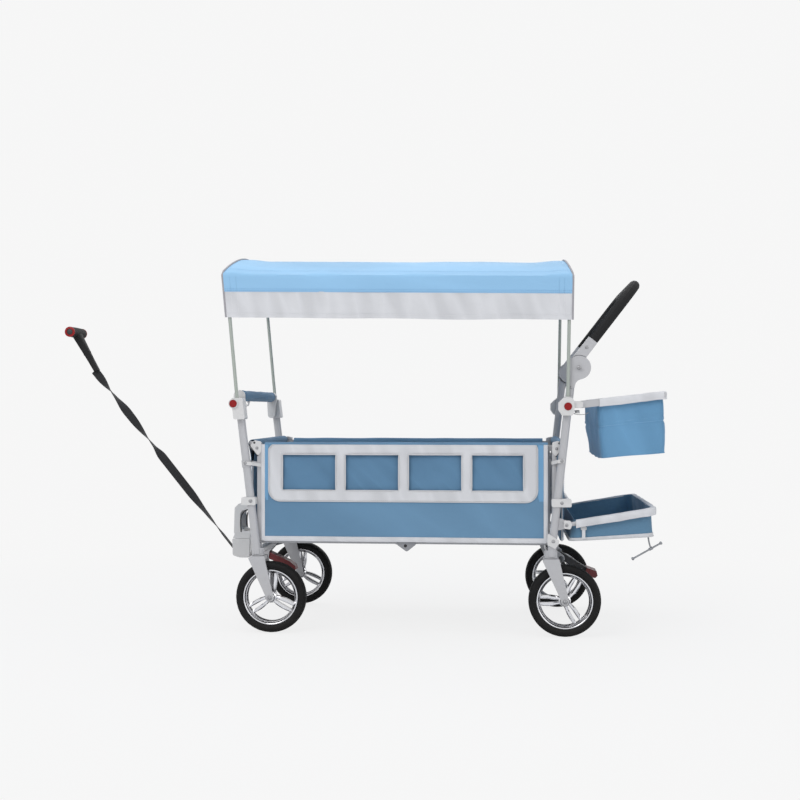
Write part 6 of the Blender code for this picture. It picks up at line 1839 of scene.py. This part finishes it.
def make_pull_handle():
    """A ribbed cross grip with red end rings and caps, and the neck that holds the strap."""
    centre = at(-1.0394, 0, 0.8638)
    half = 0.056
    rubber = Pile()
    profile = []
    steps = 44
    for i in range(steps + 1):
        t = -half + 0.0030 + (2 * half - 0.0060) * i / steps
        swell = 0.0160 - 0.0010 * (t / half) ** 2
        rib = 0.0006 if i % 3 == 1 and 4 < i < steps - 4 else 0.0
        profile.append((t, swell - rib))
    rubber.turned(centre, (0, 1, 0), profile, 36)
    neck = []
    towards = Vector((0.0676, 0, -0.1190)).normalized()
    across = Vector((towards.z, 0, -towards.x))
    points, faces = [], []
    stations = 12
    sides = 16
    for i in range(stations + 1):
        share = i / stations
        middle = centre + towards * (0.010 + 0.1250 * share)
        wide = 0.0215 - 0.0105 * min(1.0, share * 1.6) + 0.0030 * max(0.0, share - 0.75) * 4
        deep = 0.0125 - 0.0048 * share
        for k in range(sides):
            angle = math.tau * k / sides
            corner = (abs(math.cos(angle)) ** 0.6 * math.copysign(1, math.cos(angle)),
                      abs(math.sin(angle)) ** 0.6 * math.copysign(1, math.sin(angle)))
            points.append(middle + Vector((0, corner[0] * wide, 0)) + across * (corner[1] * deep))
        neck.append(middle)
    for i in range(stations):
        for k in range(sides):
            m = (k + 1) % sides
            faces.append((i * sides + k, i * sides + m, (i + 1) * sides + m, (i + 1) * sides + k))
    faces.append(tuple(range(sides))[::-1])
    faces.append(tuple(stations * sides + k for k in range(sides)))
    rubber.add(points, faces)
    handle = rubber.finish("pull_grip", "grip_foam", "pull", 40)
    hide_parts("pull_handle")
    rings = Pile()
    for way in (-1, 1):
        rings.turned(centre + Vector((0, way * (half - 0.0036), 0)), (0, way, 0),
                     [(0.0, 0.0148), (0.0004, 0.0158), (0.0026, 0.0156), (0.0034, 0.0140), (0.0032, 0.0098),
                      (0.0020, 0.0092)], 32)
    red = rings.finish("pull_grip_rings", "red_moulding", "pull")
    caps = Pile()
    for way in (-1, 1):
        caps.turned(centre + Vector((0, way * (half - 0.0030), 0)), (0, way, 0),
                    [(0.0, 0.0090), (0.0018, 0.0088), (0.0030, 0.0070), (0.0036, 0.0030)], 24)
    for i in (3, 6):
        for way in (-1, 1):
            caps.turned(neck[i] + across * (-way * 0.0085), across * (-way),
                        [(0.0, 0.0040), (0.0026, 0.0038), (0.0034, 0.0024)], 16)
    caps.finish("pull_grip_caps", "black_moulding", "pull")


TOW_ARCH = ((-0.5120, 0.2600), (-0.5135, 0.2850), (-0.5120, 0.3060), (-0.5040, 0.3200),
            (-0.4930, 0.3260), (-0.4800, 0.3265))
TOW_LOOP = ((-0.4790, 0.3300), (-0.4860, 0.3120), (-0.4840, 0.2860), (-0.4800, 0.2660), (-0.4780, 0.2560))


def make_tow_trim():
    """Raised box, black arch edging and rubber loop on the tow housing, and the lock's bracket."""
    box, arch = Pile(), Pile()
    face = box_of("tow_housing")[1].y + 0.0002
    for side, _ in SIDES:
        side_plate(box, [(-0.5385, 0.2400), (-0.5370, 0.1900), (-0.5230, 0.1850), (-0.4870, 0.1850),
                         (-0.4850, 0.2400)], face, side, 0.0030, 0.004)
        side_plate(box, [(-0.5370, 0.2408), (-0.4855, 0.2408), (-0.4840, 0.2540), (-0.5310, 0.2540)], face,
                   side, 0.0016, 0.002)
        arch.tube(smooth_line([at(x, side * face, z) for x, z in TOW_ARCH], 6), 0.0020, 8)
    loop = smooth_line([at(x, 0, z) for x, z in TOW_LOOP], 6)
    for a, b in zip(loop, loop[1:]):
        across, deep = Vector((0, 0.0150, 0)), Vector((0.0022, 0, 0))
        points = [p + w + d for p in (a, b) for w in (-across, across) for d in (-deep, deep)]
        arch.add(points, BOX_FACES)
    box.finish("tow_box_faces", "white_moulding", "front_frame", PLATE_SHARP)
    arch.finish("tow_edging", "black_moulding", "front_frame")
    bracket = Pile()
    for side in (-1, 1):
        outline = [at(x, side * 0.0300, z) for x, z in rounded_loop(
            [(-0.4420, 0.2080), (-0.4380, 0.2240), (-0.3760, 0.2480), (-0.3680, 0.2380), (-0.3720, 0.2290)],
            0.0035, 3)]
        bracket.plate(outline, (0, side, 0), 0.0030)
    for a, b, z_a, z_b in ((-0.4380, -0.3780, 0.2222, 0.2455), (-0.4360, -0.3800, 0.2160, 0.2335)):
        bracket.add([at(x, y, z + d) for x, z in ((a, z_a), (b, z_b)) for y in (-0.0305, 0.0305)
                     for d in (-0.0022, 0.0)], BOX_FACES)
    bracket.finish("lock_bracket", "steel_coat_and_painted_shade", "front_frame", PLATE_SHARP)


def main():
    make_camera()
    make_finishes()
    make_pull_strap()
    dress_frame()
    make_canopy()
    for side, word in SIDES:
        make_side_cloth(side, word)
    for side, word in ENDS:
        make_end_cloth(side, word)
        for _, near_far in SIDES:
            make_wheel(word, near_far)
    make_pouch()
    make_tray()
    make_hardware()
    make_grip_sleeve()
    make_pull_handle()
    make_tow_trim()
    make_floor()
    make_world()
    make_lamps()


main()
